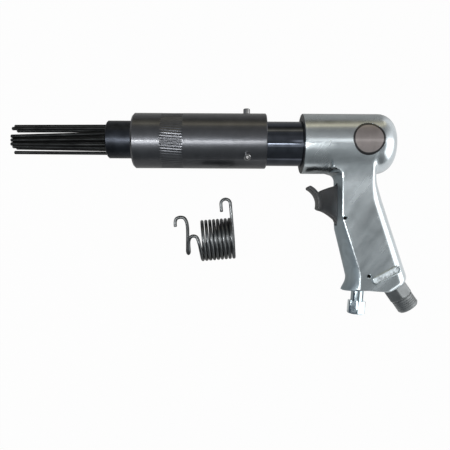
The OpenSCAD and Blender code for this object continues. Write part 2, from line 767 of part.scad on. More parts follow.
back_hook = concat([for (y = [6, 14, 22, 28]) [arm_x, y, ret_low]],
    [for (a = [0 : 22.5 : 180]) [arm_x - hook_r + hook_r * cos(a), hook_y + hook_r * sin(a), ret_low]],
    [[arm_x - 2 * hook_r, 28, ret_low], [arm_x - 2 * hook_r, 25, ret_low]]);
coil_rest = [for (i = [1 : len(coil) - 1]) coil[i]];
retainer_path = concat(curve(concat(front_hook, [coil[0]]), 3), coil_rest, back_hook);
echo(retainer_spring_gap = least_gap(retainer_path, 9) - ret_wire);

module retainer_spring() color("gray") place() translate([-ret_x, -ret_y, -head_r]) rotate([0, 0, ret_turn])
    wire(retainer_path, ret_wire / 2, 8);

handle();
side_badge();
barrel();
valve_case();
valve_back_plate();
valve_dowel();
valve_disc();
piston();
anvil();
needle_housing();
set_screws();
nozzle();
needle_holder();
needles();
needle_spring();
trigger();
trigger_pin();
throttle_bush();
throttle_seat();
throttle_valve();
throttle_seal();
throttle_spring();
air_regulator();
regulator_seal();
regulator_pin();
inlet_bushing();
inlet_screen();
retainer_spring();
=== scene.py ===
import json
import math

import bmesh
import bpy
import numpy as np
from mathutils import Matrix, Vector


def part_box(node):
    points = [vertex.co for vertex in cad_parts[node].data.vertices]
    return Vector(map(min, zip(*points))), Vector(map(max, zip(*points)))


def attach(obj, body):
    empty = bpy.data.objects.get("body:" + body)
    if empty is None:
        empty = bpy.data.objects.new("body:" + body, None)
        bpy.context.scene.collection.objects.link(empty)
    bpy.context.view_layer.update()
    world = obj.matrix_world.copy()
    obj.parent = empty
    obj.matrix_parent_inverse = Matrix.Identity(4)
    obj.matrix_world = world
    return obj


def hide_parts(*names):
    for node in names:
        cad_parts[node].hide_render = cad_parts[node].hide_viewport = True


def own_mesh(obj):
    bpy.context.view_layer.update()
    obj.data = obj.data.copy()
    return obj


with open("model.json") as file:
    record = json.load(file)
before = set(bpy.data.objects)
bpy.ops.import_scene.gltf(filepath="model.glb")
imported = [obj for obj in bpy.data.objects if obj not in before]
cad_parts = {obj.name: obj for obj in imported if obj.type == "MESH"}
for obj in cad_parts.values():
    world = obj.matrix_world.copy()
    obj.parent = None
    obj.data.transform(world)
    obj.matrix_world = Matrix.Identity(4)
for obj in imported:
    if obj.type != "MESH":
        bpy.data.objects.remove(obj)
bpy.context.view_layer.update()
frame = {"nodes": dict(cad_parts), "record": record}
nodes = frame["nodes"]
scene = bpy.context.scene
scene.view_settings.view_transform = "Standard"

MM = 0.001
WELD = 0.0005 * MM

# Tool sizes are millimetres from the front face of the head on the barrel axis, as in the CAD source
# u runs back along the barrel, v up from its axis and w towards the camera
barrel_low, barrel_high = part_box("barrel")
HEAD_FRONT = np.array([
    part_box("handle")[0].x,
    (barrel_low.y + barrel_high.y) / 2,
    (barrel_low.z + barrel_high.z) / 2,
])
HEAD_R = 26.1
HEAD_LEN = 80.2
HEAD_ROUND = 15.0
BARREL_R = 19.3
GRIP_HALF = 18.0


def to_row(points):
    """Tool millimetres to metres in the row frame."""
    return np.asarray(points, float) * MM + HEAD_FRONT


# Mesh helpers


def mesh_object(name, points, faces):
    """New object in the scene from points and faces."""
    mesh = bpy.data.meshes.new(name)
    mesh.from_pydata([tuple(p) for p in points], [], [tuple(int(i) for i in f) for f in faces])
    mesh.validate()
    piece = bpy.data.objects.new(name, mesh)
    scene.collection.objects.link(piece)
    mesh.polygons.foreach_set("use_smooth", [True] * len(mesh.polygons))
    return piece


def apply_modifiers(piece):
    """Gives a piece the mesh that its modifiers make."""
    graph = bpy.context.evaluated_depsgraph_get()
    made = bpy.data.meshes.new_from_object(piece.evaluated_get(graph))
    old = piece.data
    piece.modifiers.clear()
    piece.data = made
    bpy.data.meshes.remove(old)


def boolean(piece, cutter, operation):
    """Cuts a piece with another or joins them, and removes the other."""
    modifier = piece.modifiers.new("cut", "BOOLEAN")
    modifier.operation = operation
    modifier.solver = "EXACT"
    modifier.object = cutter
    apply_modifiers(piece)
    bpy.data.objects.remove(cutter)


def smooth_by_angle(piece, degrees):
    """Smooth faces, with the edges that turn by more than the angle kept sharp."""
    mesh = piece.data
    mesh.polygons.foreach_set("use_smooth", [True] * len(mesh.polygons))
    mesh.set_sharp_from_angle(angle=math.radians(degrees))


def split_wide_faces(mesh):
    bmesh.ops.triangulate(mesh, faces=[face for face in mesh.faces if len(face.verts) > 4])


def clean(piece):
    """Splits the many-sided faces that a boolean leaves, and closes up those without area."""
    mesh = bmesh.new()
    mesh.from_mesh(piece.data)
    split_wide_faces(mesh)
    bmesh.ops.dissolve_degenerate(mesh, edges=mesh.edges, dist=WELD)
    split_wide_faces(mesh)
    mesh.to_mesh(piece.data)
    mesh.free()


def stacked(u, v, w):
    """Points from three rows of numbers, or from single numbers that hold for all points."""
    return np.stack(np.broadcast_arrays(u, v, w), axis=1)


def place(piece, spot=lambda x, y, z: (x, y, z)):
    """Moves the points of a piece to the row frame, by way of their spot on the tool."""
    vertices = piece.data.vertices
    points = np.empty(len(vertices) * 3, np.float32)
    vertices.foreach_get("co", points)
    x, y, z = points.reshape(-1, 3).astype(float).T
    moved = to_row(stacked(*spot(x, y, z)))
    vertices.foreach_set("co", moved.astype(np.float32).ravel())
    piece.data.update()


def full_turn(sides):
    return np.arange(sides) * 2 * math.pi / sides


def ring(radius, side, other, sides):
    """Round of points in the plane of two directions."""
    turns = full_turn(sides)
    return radius * (np.outer(np.cos(turns), side) + np.outer(np.sin(turns), other))


def ring_faces(rings, sides):
    """Four-sided faces between rings that follow each other."""
    faces = []
    for i in range(rings - 1):
        for j in range(sides):
            a, b = i * sides + j, i * sides + (j + 1) % sides
            faces.append((a, b, b + sides, a + sides))
    return faces


def capped(rings):
    """Points and faces of a solid through rings, with both ends closed."""
    points = np.concatenate(rings)
    sides = len(rings[0])
    faces = ring_faces(len(rings), sides)
    faces.append(tuple(reversed(range(sides))))
    faces.append(tuple(range(len(points) - sides, len(points))))
    return points, faces


def looped(rings):
    """Points and faces of a solid through rings, from the last ring back to the first."""
    points = np.concatenate(rings)
    sides = len(rings[0])
    last = len(points) - sides
    faces = ring_faces(len(rings), sides)
    faces += [(last + j, last + (j + 1) % sides, (j + 1) % sides, j) for j in range(sides)]
    return points, faces


def rectangle(low_u, high_u, low_v, high_v):
    return [(low_u, low_v), (high_u, low_v), (high_u, high_v), (low_u, high_v)]


def prism(outline, low, high):
    """Points and faces of an outline in u and v, pushed from one w to another."""
    return capped([[(u, v, w) for u, v in outline] for w in (low, high)])


def cylinder(start, along, radius, length, sides=48):
    """Points and faces of a round bar from a start point along a direction."""
    along = np.array(along, float) / np.linalg.norm(along)
    side = np.cross(along, [0.3, 0.5, 0.8])
    side /= np.linalg.norm(side)
    around = ring(radius, side, np.cross(along, side), sides)
    return capped([start + around, start + around + length * along])


def joined(parts):
    """One list of points and faces from several."""
    points, faces = [], []
    for part_points, part_faces in parts:
        start = len(points)
        points += [tuple(p) for p in part_points]
        faces += [tuple(i + start for i in face) for face in part_faces]
    return points, faces


WIRE_END_R = 0.75
WIRE_END_LEN = 0.25


def sweep(path, radius, sides=14):
    """Points and faces of a wire along a path of points, with rounded ends."""
    path = np.asarray(path, float)
    heading = np.gradient(path, axis=0)
    heading /= np.linalg.norm(heading, axis=1)[:, None]
    side = np.cross(heading[0], [0.31, 0.42, 0.85])
    rings = []
    for point, along in zip(path, heading):
        side = side - along * np.dot(side, along)
        side /= np.linalg.norm(side)
        rings.append(point + ring(radius, side, np.cross(along, side), sides))
    cap = WIRE_END_LEN * radius
    first = path[0] + (rings[0] - path[0]) * WIRE_END_R - heading[0] * cap
    last = path[-1] + (rings[-1] - path[-1]) * WIRE_END_R + heading[-1] * cap
    return capped([first] + rings + [last])


# Handle skin, worked out as a field that is below zero inside the casting


def eased(v, line):
    """Value of a line at a height, averaged over a few millimetres."""
    heights, values = np.array(line).T
    return sum(np.interp(v + step, heights, values) for step in (-4, -2, 0, 2, 4)) / 5


def rise(degrees):
    return math.tan(math.radians(degrees))


# Heights of the grip are drops below the barrel axis
REST_V = 72.0
WAIST_V = 119.5
BASE_V = 126.6
KNEE_V = 65.0
GRIP_LOW = 152.0
NECK_V = 33.0
FACE_U = 31.0
REST_U = FACE_U - 1.3
WAIST_U = REST_U + (WAIST_V - REST_V) * rise(13.4)
TOE_U = WAIST_U - 6.0
TOE_BACK = 54.0
TOE_DROP = 0.12
RIDGE_U = FACE_U + 1.7
RIDGE_LOW = WAIST_V - 8
RIDGE_END = RIDGE_U + (RIDGE_LOW - KNEE_V) * rise(18.0)
RIDGE_SWEEP = 8.0
SWEEP_END = 22.5
BACK_U = 64.6
BACK_ROUND = 12.0
NECK_ROUND = 6.0
NECK_FILLET = 7.5

# The sides of the grip flare out where they run into the head
FLARE_V = 37.0
FLARE_RISE = 0.0063
FLARE_EASE = 6
GRIP_TOP = 10

# Roundness of the edges where two fields meet
RIDGE_EDGE = 0.4
HEAD_BLEND = 3.0
BASE_EDGE = 0.7
INLET_EDGE = 4.0

# Lines of height and u, and of height and depth of the rounded back
FRONT_LINE = [
    (-GRIP_LOW, TOE_U), (-BASE_V, TOE_U), (-WAIST_V, WAIST_U),
    (-REST_V, REST_U), (6 - REST_V, FACE_U), (0, FACE_U),
]
RIDGE_LINE = [(-GRIP_LOW, RIDGE_END), (-RIDGE_LOW, RIDGE_END), (-KNEE_V, RIDGE_U), (0, RIDGE_U)]
BACK_LINE = [(-GRIP_LOW, BACK_U + (GRIP_LOW - NECK_V) * rise(18.2)), (-NECK_V, BACK_U), (0, BACK_U - 1)]
ROUND_LINE = [
    (-GRIP_LOW, BACK_ROUND), (-NECK_V - 16, BACK_ROUND), (-NECK_V, NECK_ROUND + 1),
    (-HEAD_R, NECK_ROUND), (0, NECK_ROUND),
]
FRONT_TURN = math.radians(55)
FRONT_LIMIT = 0.97
REGULATOR_U = 50.6
REGULATOR_TILT = math.radians(5)
BASE_TILT = math.radians(3.5)
INLET = np.array([81.9, -123.8, 0])
INLET_LEAN = math.radians(35)


def soft_max(a, b, k):
    """Larger of two fields, with the edge between them rounded over about k."""
    h = np.clip(0.5 + 0.5 * (a - b) / k, 0, 1)
    return b + (a - b) * h + k * h * (1 - h)


def soft_min(a, b, k):
    return -soft_max(-a, -b, k)


def fillet_at(v, radius, end):
    """Reach of a quarter round that grows upwards to its radius at a drop below the barrel axis."""
    depth = np.clip(v + end + radius, 0, radius)
    return radius - np.sqrt(radius ** 2 - depth ** 2)


def grip_field(u, v, w):
    """Grip with an arched front between two ridges, flat sides and a rounded back."""
    front = eased(v, FRONT_LINE) - fillet_at(v, NECK_FILLET, HEAD_R)
    ridge = eased(v, RIDGE_LINE) - fillet_at(v, RIDGE_SWEEP, SWEEP_END)
    back = eased(v, BACK_LINE)
    depth = eased(v, ROUND_LINE)
    flare = np.maximum(0, v + FLARE_V)
    half = GRIP_HALF + FLARE_RISE * flare ** 3 / (flare + FLARE_EASE)
    shoulder = back - depth
    side = np.abs(w)
    sine = np.clip(side / half * math.sin(FRONT_TURN), 0, FRONT_LIMIT)
    cosine = np.sqrt(1 - sine ** 2)
    reach = (ridge - front) / (1 - math.cos(FRONT_TURN))
    slope = reach * sine / cosine * math.sin(FRONT_TURN) / half
    front_field = (front + reach * (1 - cosine) - u) / np.sqrt(1 + slope ** 2)
    behind = np.maximum(u - shoulder, 0)
    ellipse = np.sqrt((behind / depth) ** 2 + (w / half) ** 2) + 1e-9
    steep = np.sqrt((behind / depth ** 2) ** 2 + (w / half ** 2) ** 2) / ellipse + 1e-9
    back_field = np.where(u > shoulder, (ellipse - 1) / steep, side - half)
    body = soft_max(back_field, front_field, RIDGE_EDGE)
    return np.maximum(body, v + GRIP_TOP)


def head_field(u, v, w):
    """Round head with a rounded back end."""
    along = u - (HEAD_LEN - HEAD_ROUND)
    out = np.hypot(v, w) - (HEAD_R - HEAD_ROUND)
    corner = np.hypot(np.maximum(along, 0), np.maximum(out, 0))
    return corner + np.minimum(np.maximum(along, out), 0) - HEAD_ROUND


def handle_field(points):
    """Head and grip, cut by the base with its dropped toe and by the face of the inlet."""
    u, v, w = points[:, 0], points[:, 1], points[:, 2]
    body = soft_min(head_field(u, v, w), grip_field(u, v, w), HEAD_BLEND)
    low = BASE_V + TOE_DROP * np.maximum(0, TOE_BACK - u)
    base = -(v + low) * math.cos(BASE_TILT) - (u - REGULATOR_U) * math.sin(BASE_TILT)
    inlet = (u - INLET[0]) * math.sin(INLET_LEAN) - (v - INLET[1]) * math.cos(INLET_LEAN)
    body = soft_max(body, base, BASE_EDGE)
    return soft_max(body, inlet, INLET_EDGE)


def field_slope(field, points, step=0.03):
    slope = np.empty_like(points)
    for axis in range(3):
        shift = np.zeros(3)
        shift[axis] = step
        slope[:, axis] = (field(points + shift) - field(points - shift)) / (2 * step)
    return slope


def settle(field, points, rounds, reach=0.8):
    """Moves points along the slope of a field onto its zero surface."""
    for _ in range(rounds):
        slope = field_slope(field, points)
        step = field(points)[:, None] * slope / ((slope ** 2).sum(axis=1)[:, None] + 1e-6)
        length = np.linalg.norm(step, axis=1)[:, None] + 1e-9
        points = points - step * np.minimum(1, reach / length)
    return points


def picked(parts):
    """Index of a grid, with a part of some axes and all of the others."""
    return tuple(parts.get(axis, slice(None)) for axis in range(3))


def surface_net(field, low, high, pitch):
    """Points and four-sided faces of the zero surface of a field."""
    counts = [int(round((high[i] - low[i]) / pitch)) + 1 for i in range(3)]
    grids = [low[i] + pitch * np.arange(counts[i]) for i in range(3)]
    corner = np.stack(np.meshgrid(*grids, indexing="ij"), axis=-1)
    values = field(corner.reshape(-1, 3)).reshape(counts)
    inside = values < 0
    total = np.zeros([c - 1 for c in counts] + [3])
    hits = np.zeros([c - 1 for c in counts])
    crossings = []
    for axis in range(3):
        near, far = picked({axis: slice(None, -1)}), picked({axis: slice(1, None)})
        crossed = inside[near] != inside[far]
        share = np.where(crossed, values[near] / (values[near] - values[far] + 1e-12), 0)
        spot = corner[near].copy()
        spot[..., axis] += share * pitch
        crossings.append((crossed, inside[near]))
        others = [i for i in range(3) if i != axis]
        for steps in ((0, 0), (0, 1), (1, 0), (1, 1)):
            pick = picked({i: slice(step, counts[i] - 1 + step) for i, step in zip(others, steps)})
            total += np.where(crossed[pick][..., None], spot[pick], 0)
            hits += crossed[pick]
    used = hits > 0
    number = np.full(used.shape, -1)
    number[used] = np.arange(used.sum())
    points = total[used] / hits[used][:, None]
    faces = []
    for axis, (crossed, inner) in enumerate(crossings):
        a, b = [(1, 2), (2, 0), (0, 1)][axis]
        spots = np.argwhere(crossed)
        spots = spots[(spots[:, a] > 0) & (spots[:, b] > 0)]
        spots = spots[(spots[:, a] < counts[a] - 1) & (spots[:, b] < counts[b] - 1)]
        cells = []
        for step_a, step_b in ((-1, -1), (0, -1), (0, 0), (-1, 0)):
            cell = spots.copy()
            cell[:, a] += step_a
            cell[:, b] += step_b
            cells.append(number[cell[:, 0], cell[:, 1], cell[:, 2]])
        quads = np.stack(cells, axis=1)
        outward = inner[spots[:, 0], spots[:, 1], spots[:, 2]]
        quads[~outward] = quads[~outward][:, ::-1]
        faces.append(quads)
    return points, np.concatenate(faces)


def relaxed(field, points, faces, rounds):
    """Evens out the spacing of points along the surface."""
    links = np.concatenate([faces[:, [i, (i + 1) % 4]] for i in range(4)])
    weight = np.bincount(links.ravel(), minlength=len(points))[:, None] + 1e-9
    for _ in range(rounds):
        mean = np.zeros_like(points)
        np.add.at(mean, links[:, 0], points[links[:, 1]])
        np.add.at(mean, links[:, 1], points[links[:, 0]])
        points = settle(field, points + 0.5 * (mean / weight - points), 1)
    return points


SKIN_PITCH = 0.85
SKIN_WELD = 0.02
SKIN_LOW = np.array([-2.0, -156.0, -29.0])
SKIN_HIGH = np.array([110.0, 29.0, 29.0])
RIM_SEAM = 5.0
RIM_START = 3.0
RIM_ROUND = 0.7
RIM_STEP = 2.5
BORE_R = BARREL_R + 0.05
BORE_CUT = 0.4
BORE_RING = 8.0
BORE_DEPTH = 44.0


def rim_profile():
    """Pairs of u and radius from the seam over the rounded rim into the bore."""
    arc = [(RIM_ROUND * (1 - math.cos(a)), HEAD_R - RIM_ROUND * (1 - math.sin(a)))
           for a in np.radians([90, 67.5, 45, 22.5, 0])]
    mouth = [(0.0, BORE_R + RIM_STEP), (0.0, BORE_R + BORE_CUT), (BORE_CUT, BORE_R)]
    return [(RIM_START, HEAD_R)] + arc + mouth + [(BORE_RING, BORE_R), (BORE_DEPTH, BORE_R)]


def make_skin():
    """Closed skin of the casting, with a turned front rim and bore."""
    points, faces = surface_net(handle_field, SKIN_LOW, SKIN_HIGH, SKIN_PITCH)
    points = settle(handle_field, points, 4)
    points = relaxed(handle_field, points, faces, 3)
    points = settle(handle_field, points, 2)
    mesh = bmesh.new()
    corners = [mesh.verts.new(p) for p in points]
    for face in faces:
        mesh.faces.new([corners[i] for i in face])
    parts = mesh.verts[:] + mesh.edges[:] + mesh.faces[:]
    bmesh.ops.bisect_plane(mesh, geom=parts, plane_co=(RIM_SEAM, 0, 0), plane_no=(-1, 0, 0),
                           clear_outer=True)
    bmesh.ops.dissolve_degenerate(mesh, edges=mesh.edges[:], dist=SKIN_WELD)
    seam = [v for v in mesh.verts if v.is_boundary]
    seam.sort(key=lambda corner: math.atan2(corner.co.z, corner.co.y))
    rows = [seam]
    for u, radius in rim_profile():
        row = []
        for corner in seam:
            turn = math.atan2(corner.co.z, corner.co.y)
            row.append(mesh.verts.new((u, radius * math.cos(turn), radius * math.sin(turn))))
        rows.append(row)
    count = len(seam)
    for near, far in zip(rows, rows[1:]):
        for i in range(count):
            j = (i + 1) % count
            mesh.faces.new([near[i], far[i], far[j], near[j]])
    mesh.faces.new(rows[-1])
    bmesh.ops.recalc_face_normals(mesh, faces=mesh.faces[:])
    skin = bpy.data.meshes.new("handle_skin")
    mesh.to_mesh(skin)
    mesh.free()
    piece = bpy.data.objects.new("handle_skin", skin)
    scene.collection.objects.link(piece)
    return piece


BADGE_U = 53.0
BADGE_R = 13.4
BADGE_TURN = math.radians(2.5)
BADGE_SINK = 0.5
BADGE_GAP = 0.2


def badge_rings(radii, heights, sides):
    """Rings about the label's middle that follow the round head at given heights above it."""
    turn = full_turn(sides)
    rings = []
    for radius, height in zip(radii, heights):
        u = BADGE_U + radius * np.cos(turn)
        across = radius * np.sin(turn)
        out = np.sqrt((HEAD_R + height) ** 2 - across ** 2)
        v = across * math.cos(BADGE_TURN) + out * math.sin(BADGE_TURN)
        w = out * math.cos(BADGE_TURN) - across * math.sin(BADGE_TURN)
        rings.append(stacked(u, v, w))
    return rings


def badge_recess():
    """Cutter with a floor that follows the round head."""
    radii = [1.0, 5.0, 9.0] + [BADGE_R + BADGE_GAP] * 2
    heights = [-BADGE_SINK] * 4 + [4.0]
    return capped(badge_rings(radii, heights, 72))


PAD_U = 70.2
PAD_V = -113.2
PAD_TURN = math.radians(28)
PAD_LEN = 26.4
PAD_W = 6.8

# Pairs of added width and of height above the side of the grip, up the rim and down to the sunk face
PAD_LEVELS = ((0.7, -3.0), (0.5, 0.05), (-0.8, 0.95), (-1.2, 1.1), (-1.7, 1.1), (-2.0, 1.0), (-2.7, 0.3))


def pad_outline(width):
    """Long round-ended outline, turned to its place on the grip."""
    straight = (PAD_LEN - PAD_W) / 2
    outline = []
    for side in (1, -1):
        for a in np.linspace(-math.pi / 2, math.pi / 2, 13):
            u = side * (straight + width / 2 * math.cos(a))
            v = side * width / 2 * math.sin(a)
            outline.append((PAD_U + u * math.cos(PAD_TURN) - v * math.sin(PAD_TURN),
                            PAD_V + u * math.sin(PAD_TURN) + v * math.cos(PAD_TURN)))
    return outline


def make_pad():
    """Bare pad with a rounded raised rim and a sunk face."""
    rings = []
    for wider, height in PAD_LEVELS:
        rings.append([(u, v, GRIP_HALF + height) for u, v in pad_outline(PAD_W + wider)])
    return capped(rings)


def regulator_spot(across, up):
    """Point beside the regulator axis, at a height above the base."""
    u = REGULATOR_U + up * math.sin(REGULATOR_TILT) + across * math.cos(REGULATOR_TILT)
    v = -BASE_V + up * math.cos(REGULATOR_TILT) - across * math.sin(REGULATOR_TILT)
    return u, v


PIN_U = 35.2
PIN_V = -65.0
PIN_R = 1.5
PIN_EDGE = 0.5
PIN_FIT = 0.05
PIN_SPOTS = ((PIN_U, PIN_V), regulator_spot(3.9, 12.6))


def pin_hole(u, v, side):
    """Cutter for a pin hole with a broken edge."""
    turn = full_turn(32) * side
    wide = PIN_R + PIN_EDGE
    rings = []
    for r, w in ((PIN_R, 14.0), (PIN_R, GRIP_HALF - PIN_EDGE), (wide, GRIP_HALF), (wide, GRIP_HALF + 6)):
        rings.append(stacked(u + r * np.cos(turn), v + r * np.sin(turn), side * w))
    return capped(rings)


# Slot of the trigger and bores of the throttle and the regulator
SLOT_FRONT = 20.0
SLOT_BACK = 45.5
SLOT_LOW = -71.6
SLOT_TOP = -34.6
SLOT_HALF = 5.4
THROTTLE_V = -47.5
THROTTLE_R = 5.5
THROTTLE_END = 66.0
SOCKET_R = 5.6
SOCKET_LOW = -6.0
SOCKET_LEN = 14.0


def handle_cutters():
    slot = rectangle(SLOT_FRONT, SLOT_BACK, SLOT_LOW, SLOT_TOP)
    parts = [prism(slot, -SLOT_HALF, SLOT_HALF), badge_recess()]
    for u, v in PIN_SPOTS:
        for side in (1, -1):
            parts.append(pin_hole(u, v, side))
    start = np.array([*regulator_spot(0, SOCKET_LOW), 0])
    up = (math.sin(REGULATOR_TILT), math.cos(REGULATOR_TILT), 0)
    parts.append(cylinder(start, up, SOCKET_R, SOCKET_LEN))
    return joined(parts)


def make_handle():
    """Casting with its slot, holes, bores, badge recess and pad."""
    piece = make_skin()
    boolean(piece, mesh_object("cutters", *handle_cutters()), "DIFFERENCE")
    start = np.array([SLOT_BACK - 1, THROTTLE_V, 0])
    bore = cylinder(start, (1, 0, 0), THROTTLE_R, THROTTLE_END - SLOT_BACK + 1)
    boolean(piece, mesh_object("bore", *bore), "DIFFERENCE")
    boolean(piece, mesh_object("pad", *make_pad()), "UNION")
    place(piece)
    clean(piece)
    smooth_by_angle(piece, 38)
    return piece


# Trigger

FINGER_U = -0.4
FINGER_V = -52.9
FINGER_R = 14.4
BLADE_T = 3.2
BLADE_HALF = 8.5
BLADE_LOW = -12
BLADE_HIGH = 62
BLADE_MIDDLE = FINGER_R + BLADE_T / 2
WEB_HALF = 4.9
WEB_BACK = PIN_U + 4.8
WEB_TOP = -36.4
WEB_NOSE = 4.9
HEEL_R = 6.2
SWOOP_BEND = 1.6
TRIGGER_EDGE = 0.5


def turned(u, v, radius, degrees):
    a = math.radians(degrees)
    return u + radius * math.cos(a), v + radius * math.sin(a)


def on_blade(radius, degrees):
    return turned(FINGER_U, FINGER_V, radius, degrees)


def blade_outline():
    """Curved finger blade with round ends."""
    low_end = on_blade(BLADE_MIDDLE, BLADE_LOW)
    high_end = on_blade(BLADE_MIDDLE, BLADE_HIGH)
    end_r = BLADE_T / 2
    outline = [on_blade(FINGER_R + BLADE_T, a) for a in np.linspace(BLADE_LOW, BLADE_HIGH, 22)]
    outline += [turned(*high_end, end_r, a) for a in np.linspace(BLADE_HIGH + 20, BLADE_HIGH + 160, 8)]
    outline += [on_blade(FINGER_R, a) for a in np.linspace(BLADE_HIGH, BLADE_LOW, 22)]
    outline += [turned(*low_end, end_r, a) for a in np.linspace(BLADE_LOW + 200, BLADE_LOW + 340, 8)]
    return outline


def swoop(start, end, steps=12):
    """Curve that leaves its start level and bends towards its end."""
    across, up = end[0] - start[0], end[1] - start[1]
    return [(start[0] + across * t, start[1] + up * t ** SWOOP_BEND) for t in np.linspace(0, 1, steps)]


def web_outline():
    """Lever between the blade, the pin and the throttle stem."""
    outline = [(WEB_BACK, WEB_TOP)]
    outline += swoop((PIN_U - 1.2, WEB_TOP), (FINGER_U + FINGER_R + 2.6, WEB_TOP - WEB_NOSE))
    outline += [on_blade(BLADE_MIDDLE, a) for a in (25, 15, 5, -5, -10)]
    outline += swoop(on_blade(BLADE_MIDDLE, -20), turned(PIN_U, PIN_V, HEEL_R, 195))
    outline += [turned(PIN_U, PIN_V, HEEL_R, a) for a in range(205, 280, 10)]
    outline.append((WEB_BACK, PIN_V - 2))
    return outline


def make_trigger():
    piece = mesh_object("trigger_lever", *prism(blade_outline(), -BLADE_HALF, BLADE_HALF))
    boolean(piece, mesh_object("web", *prism(web_outline(), -WEB_HALF, WEB_HALF)), "UNION")
    hole = cylinder(np.array([PIN_U, PIN_V, -20.0]), (0, 0, 1), PIN_R + PIN_FIT, 40.0)
    boolean(piece, mesh_object("hole", *hole), "DIFFERENCE")
    place(piece)
    bevel = piece.modifiers.new("edges", "BEVEL")
    bevel.width = TRIGGER_EDGE * MM
    bevel.segments = 3
    bevel.limit_method = "ANGLE"
    bevel.angle_limit = math.radians(40)
    apply_modifiers(piece)
    clean(piece)
    smooth_by_angle(piece, 35)
    return piece


# Springs

RET_WIRE = 2.9
RET_R = 17.0
RET_PITCH = 3.48
RET_TURNS = 8.25
RET_U = -72.3
RET_V = -84.4
RET_TURN = math.radians(5)
RET_LOW = RET_WIRE / 2
RET_MID = RET_LOW + RET_R
COIL_START = -15.2
COIL_RINGS = 40
HOOK_R = 4.4
HOOK_Y = 31.8


def on_coil(x, degrees):
    a = math.radians(degrees)
    return (x, RET_R * math.cos(a), RET_MID + RET_R * math.sin(a))


# Points along the front hook, from its end through the bend below to the start of the coil
FRONT_HOOK = [
    (-37.4, 14.6, 20), (-37, 19, 20.3), (-35.5, 21.6, 20.8), (-31.9, 22.4, 21.4), (-28.6, 21.2, 22),
    (-26.9, 17.7, 22.6), (-26.4, 13.2, 23.2), (-26.5, 8.7, 23.8), (-27, 2.2, 24.8), (-27.5, -4.5, 26),
    (-27.7, -8.2, 27.2), (-27, -9.9, 28.8), (-26.1, -8.2, 30.4), (-25.9, -2.4, 31.8), (-25.2, 2, 33),
    (-23.2, 4.5, 34), (-20.5, 4.9, 34.6),
    on_coil(-18, 79), on_coil(-16.5, 98), on_coil(-15.7, 125), on_coil(-15.4, 152),
]


def curve_through(points, steps):
    """Smooth curve through points, with a count of steps between two of them."""
    p = np.array(points, float)
    path = []
    for i in range(len(p) - 1):
        a, b, c, d = p[max(i - 1, 0)], p[i], p[i + 1], p[min(i + 2, len(p) - 1)]
        for t in np.arange(steps) / steps:
            bend = t * t * (2 * a - 5 * b + 4 * c - d) + t ** 3 * (3 * b - a - 3 * c + d)
            path.append(0.5 * (2 * b + t * (c - a) + bend))
    path.append(p[-1])
    return path


def retainer_path():
    """Front hook, coil, straight arm and back hook of the loose spring, turned as it lies."""
    coil = []
    for i in range(int(RET_TURNS * COIL_RINGS) + 1):
        coil.append(on_coil(COIL_START + RET_PITCH * i / COIL_RINGS, 180 + 360 * i / COIL_RINGS))
    arm = COIL_START + RET_PITCH * RET_TURNS
    back = [(arm, y, RET_LOW) for y in np.linspace(2, 29, 16)]
    back += [(arm - HOOK_R + HOOK_R * math.cos(a), HOOK_Y + HOOK_R * math.sin(a), RET_LOW)
             for a in np.linspace(0, math.pi, 19)]
    back += [(arm - 2 * HOOK_R, y, RET_LOW) for y in (29.5, 28, 26.5, 25)]
    x, y, z = np.array(curve_through(FRONT_HOOK + [coil[0]], 8) + coil[1:] + back).T
    return stacked(
        RET_U + x * math.cos(RET_TURN) - y * math.sin(RET_TURN),
        RET_V + x * math.sin(RET_TURN) + y * math.cos(RET_TURN),
        z - HEAD_R,
    )


def helix(start, end, v, radius, turns, rings=32):
    """Path of a coil along u, about an axis at a height."""
    steps = np.arange(turns * rings + 1)
    a = 2 * math.pi * steps / rings
    along = start + (end - start) * steps / (turns * rings)
    return stacked(along, v + radius * np.cos(a), radius * np.sin(a))


# Needle housing

HOUSING_BACK = -31.2
HOUSING_FRONT = -146.7
HOUSING_V = 2.2
HOUSING_R = 24.0
CHAMBER_R = 21.6
LIP_R = 17.35
LIP_U = -139.7
BACK_CUT = 0.8
FRONT_CUT = 1.7
KNURL_BACK = -103.1
KNURL_FRONT = -121.6
KNURL_TEETH = 64
KNURL_DEPTH = 0.3
KNURL_SLANT = 0.06
KNURL_SINK = 0.08
SCREW_U = -48.0
SCREW_R = 3.0
SCREW_TURNS = (0, 128, -128)
SCREW_FROM = 15


def housing_profile():
    """Rows of u, radius and knurl depth, from the bore round the outside and back."""
    behind = (HOUSING_BACK - BACK_CUT, -42.0, -54.0, -80.0, KNURL_BACK + 0.8, KNURL_BACK + 0.3)
    ahead = (KNURL_FRONT - 0.3, KNURL_FRONT - 0.8, -134.0, HOUSING_FRONT + FRONT_CUT)
    rows = [(HOUSING_BACK, CHAMBER_R, 0), (HOUSING_BACK, HOUSING_R - BACK_CUT, 0)]
    rows += [(u, HOUSING_R, 0) for u in behind]
    for u in np.linspace(KNURL_BACK - 0.4, KNURL_FRONT + 0.4, 7):
        rows.append((u, HOUSING_R - KNURL_SINK, KNURL_DEPTH))
    rows += [(u, HOUSING_R, 0) for u in ahead]
    rows += [(HOUSING_FRONT, HOUSING_R - FRONT_CUT, 0), (HOUSING_FRONT, LIP_R, 0)]
    return rows + [(LIP_U, LIP_R, 0), (LIP_U, CHAMBER_R, 0)]


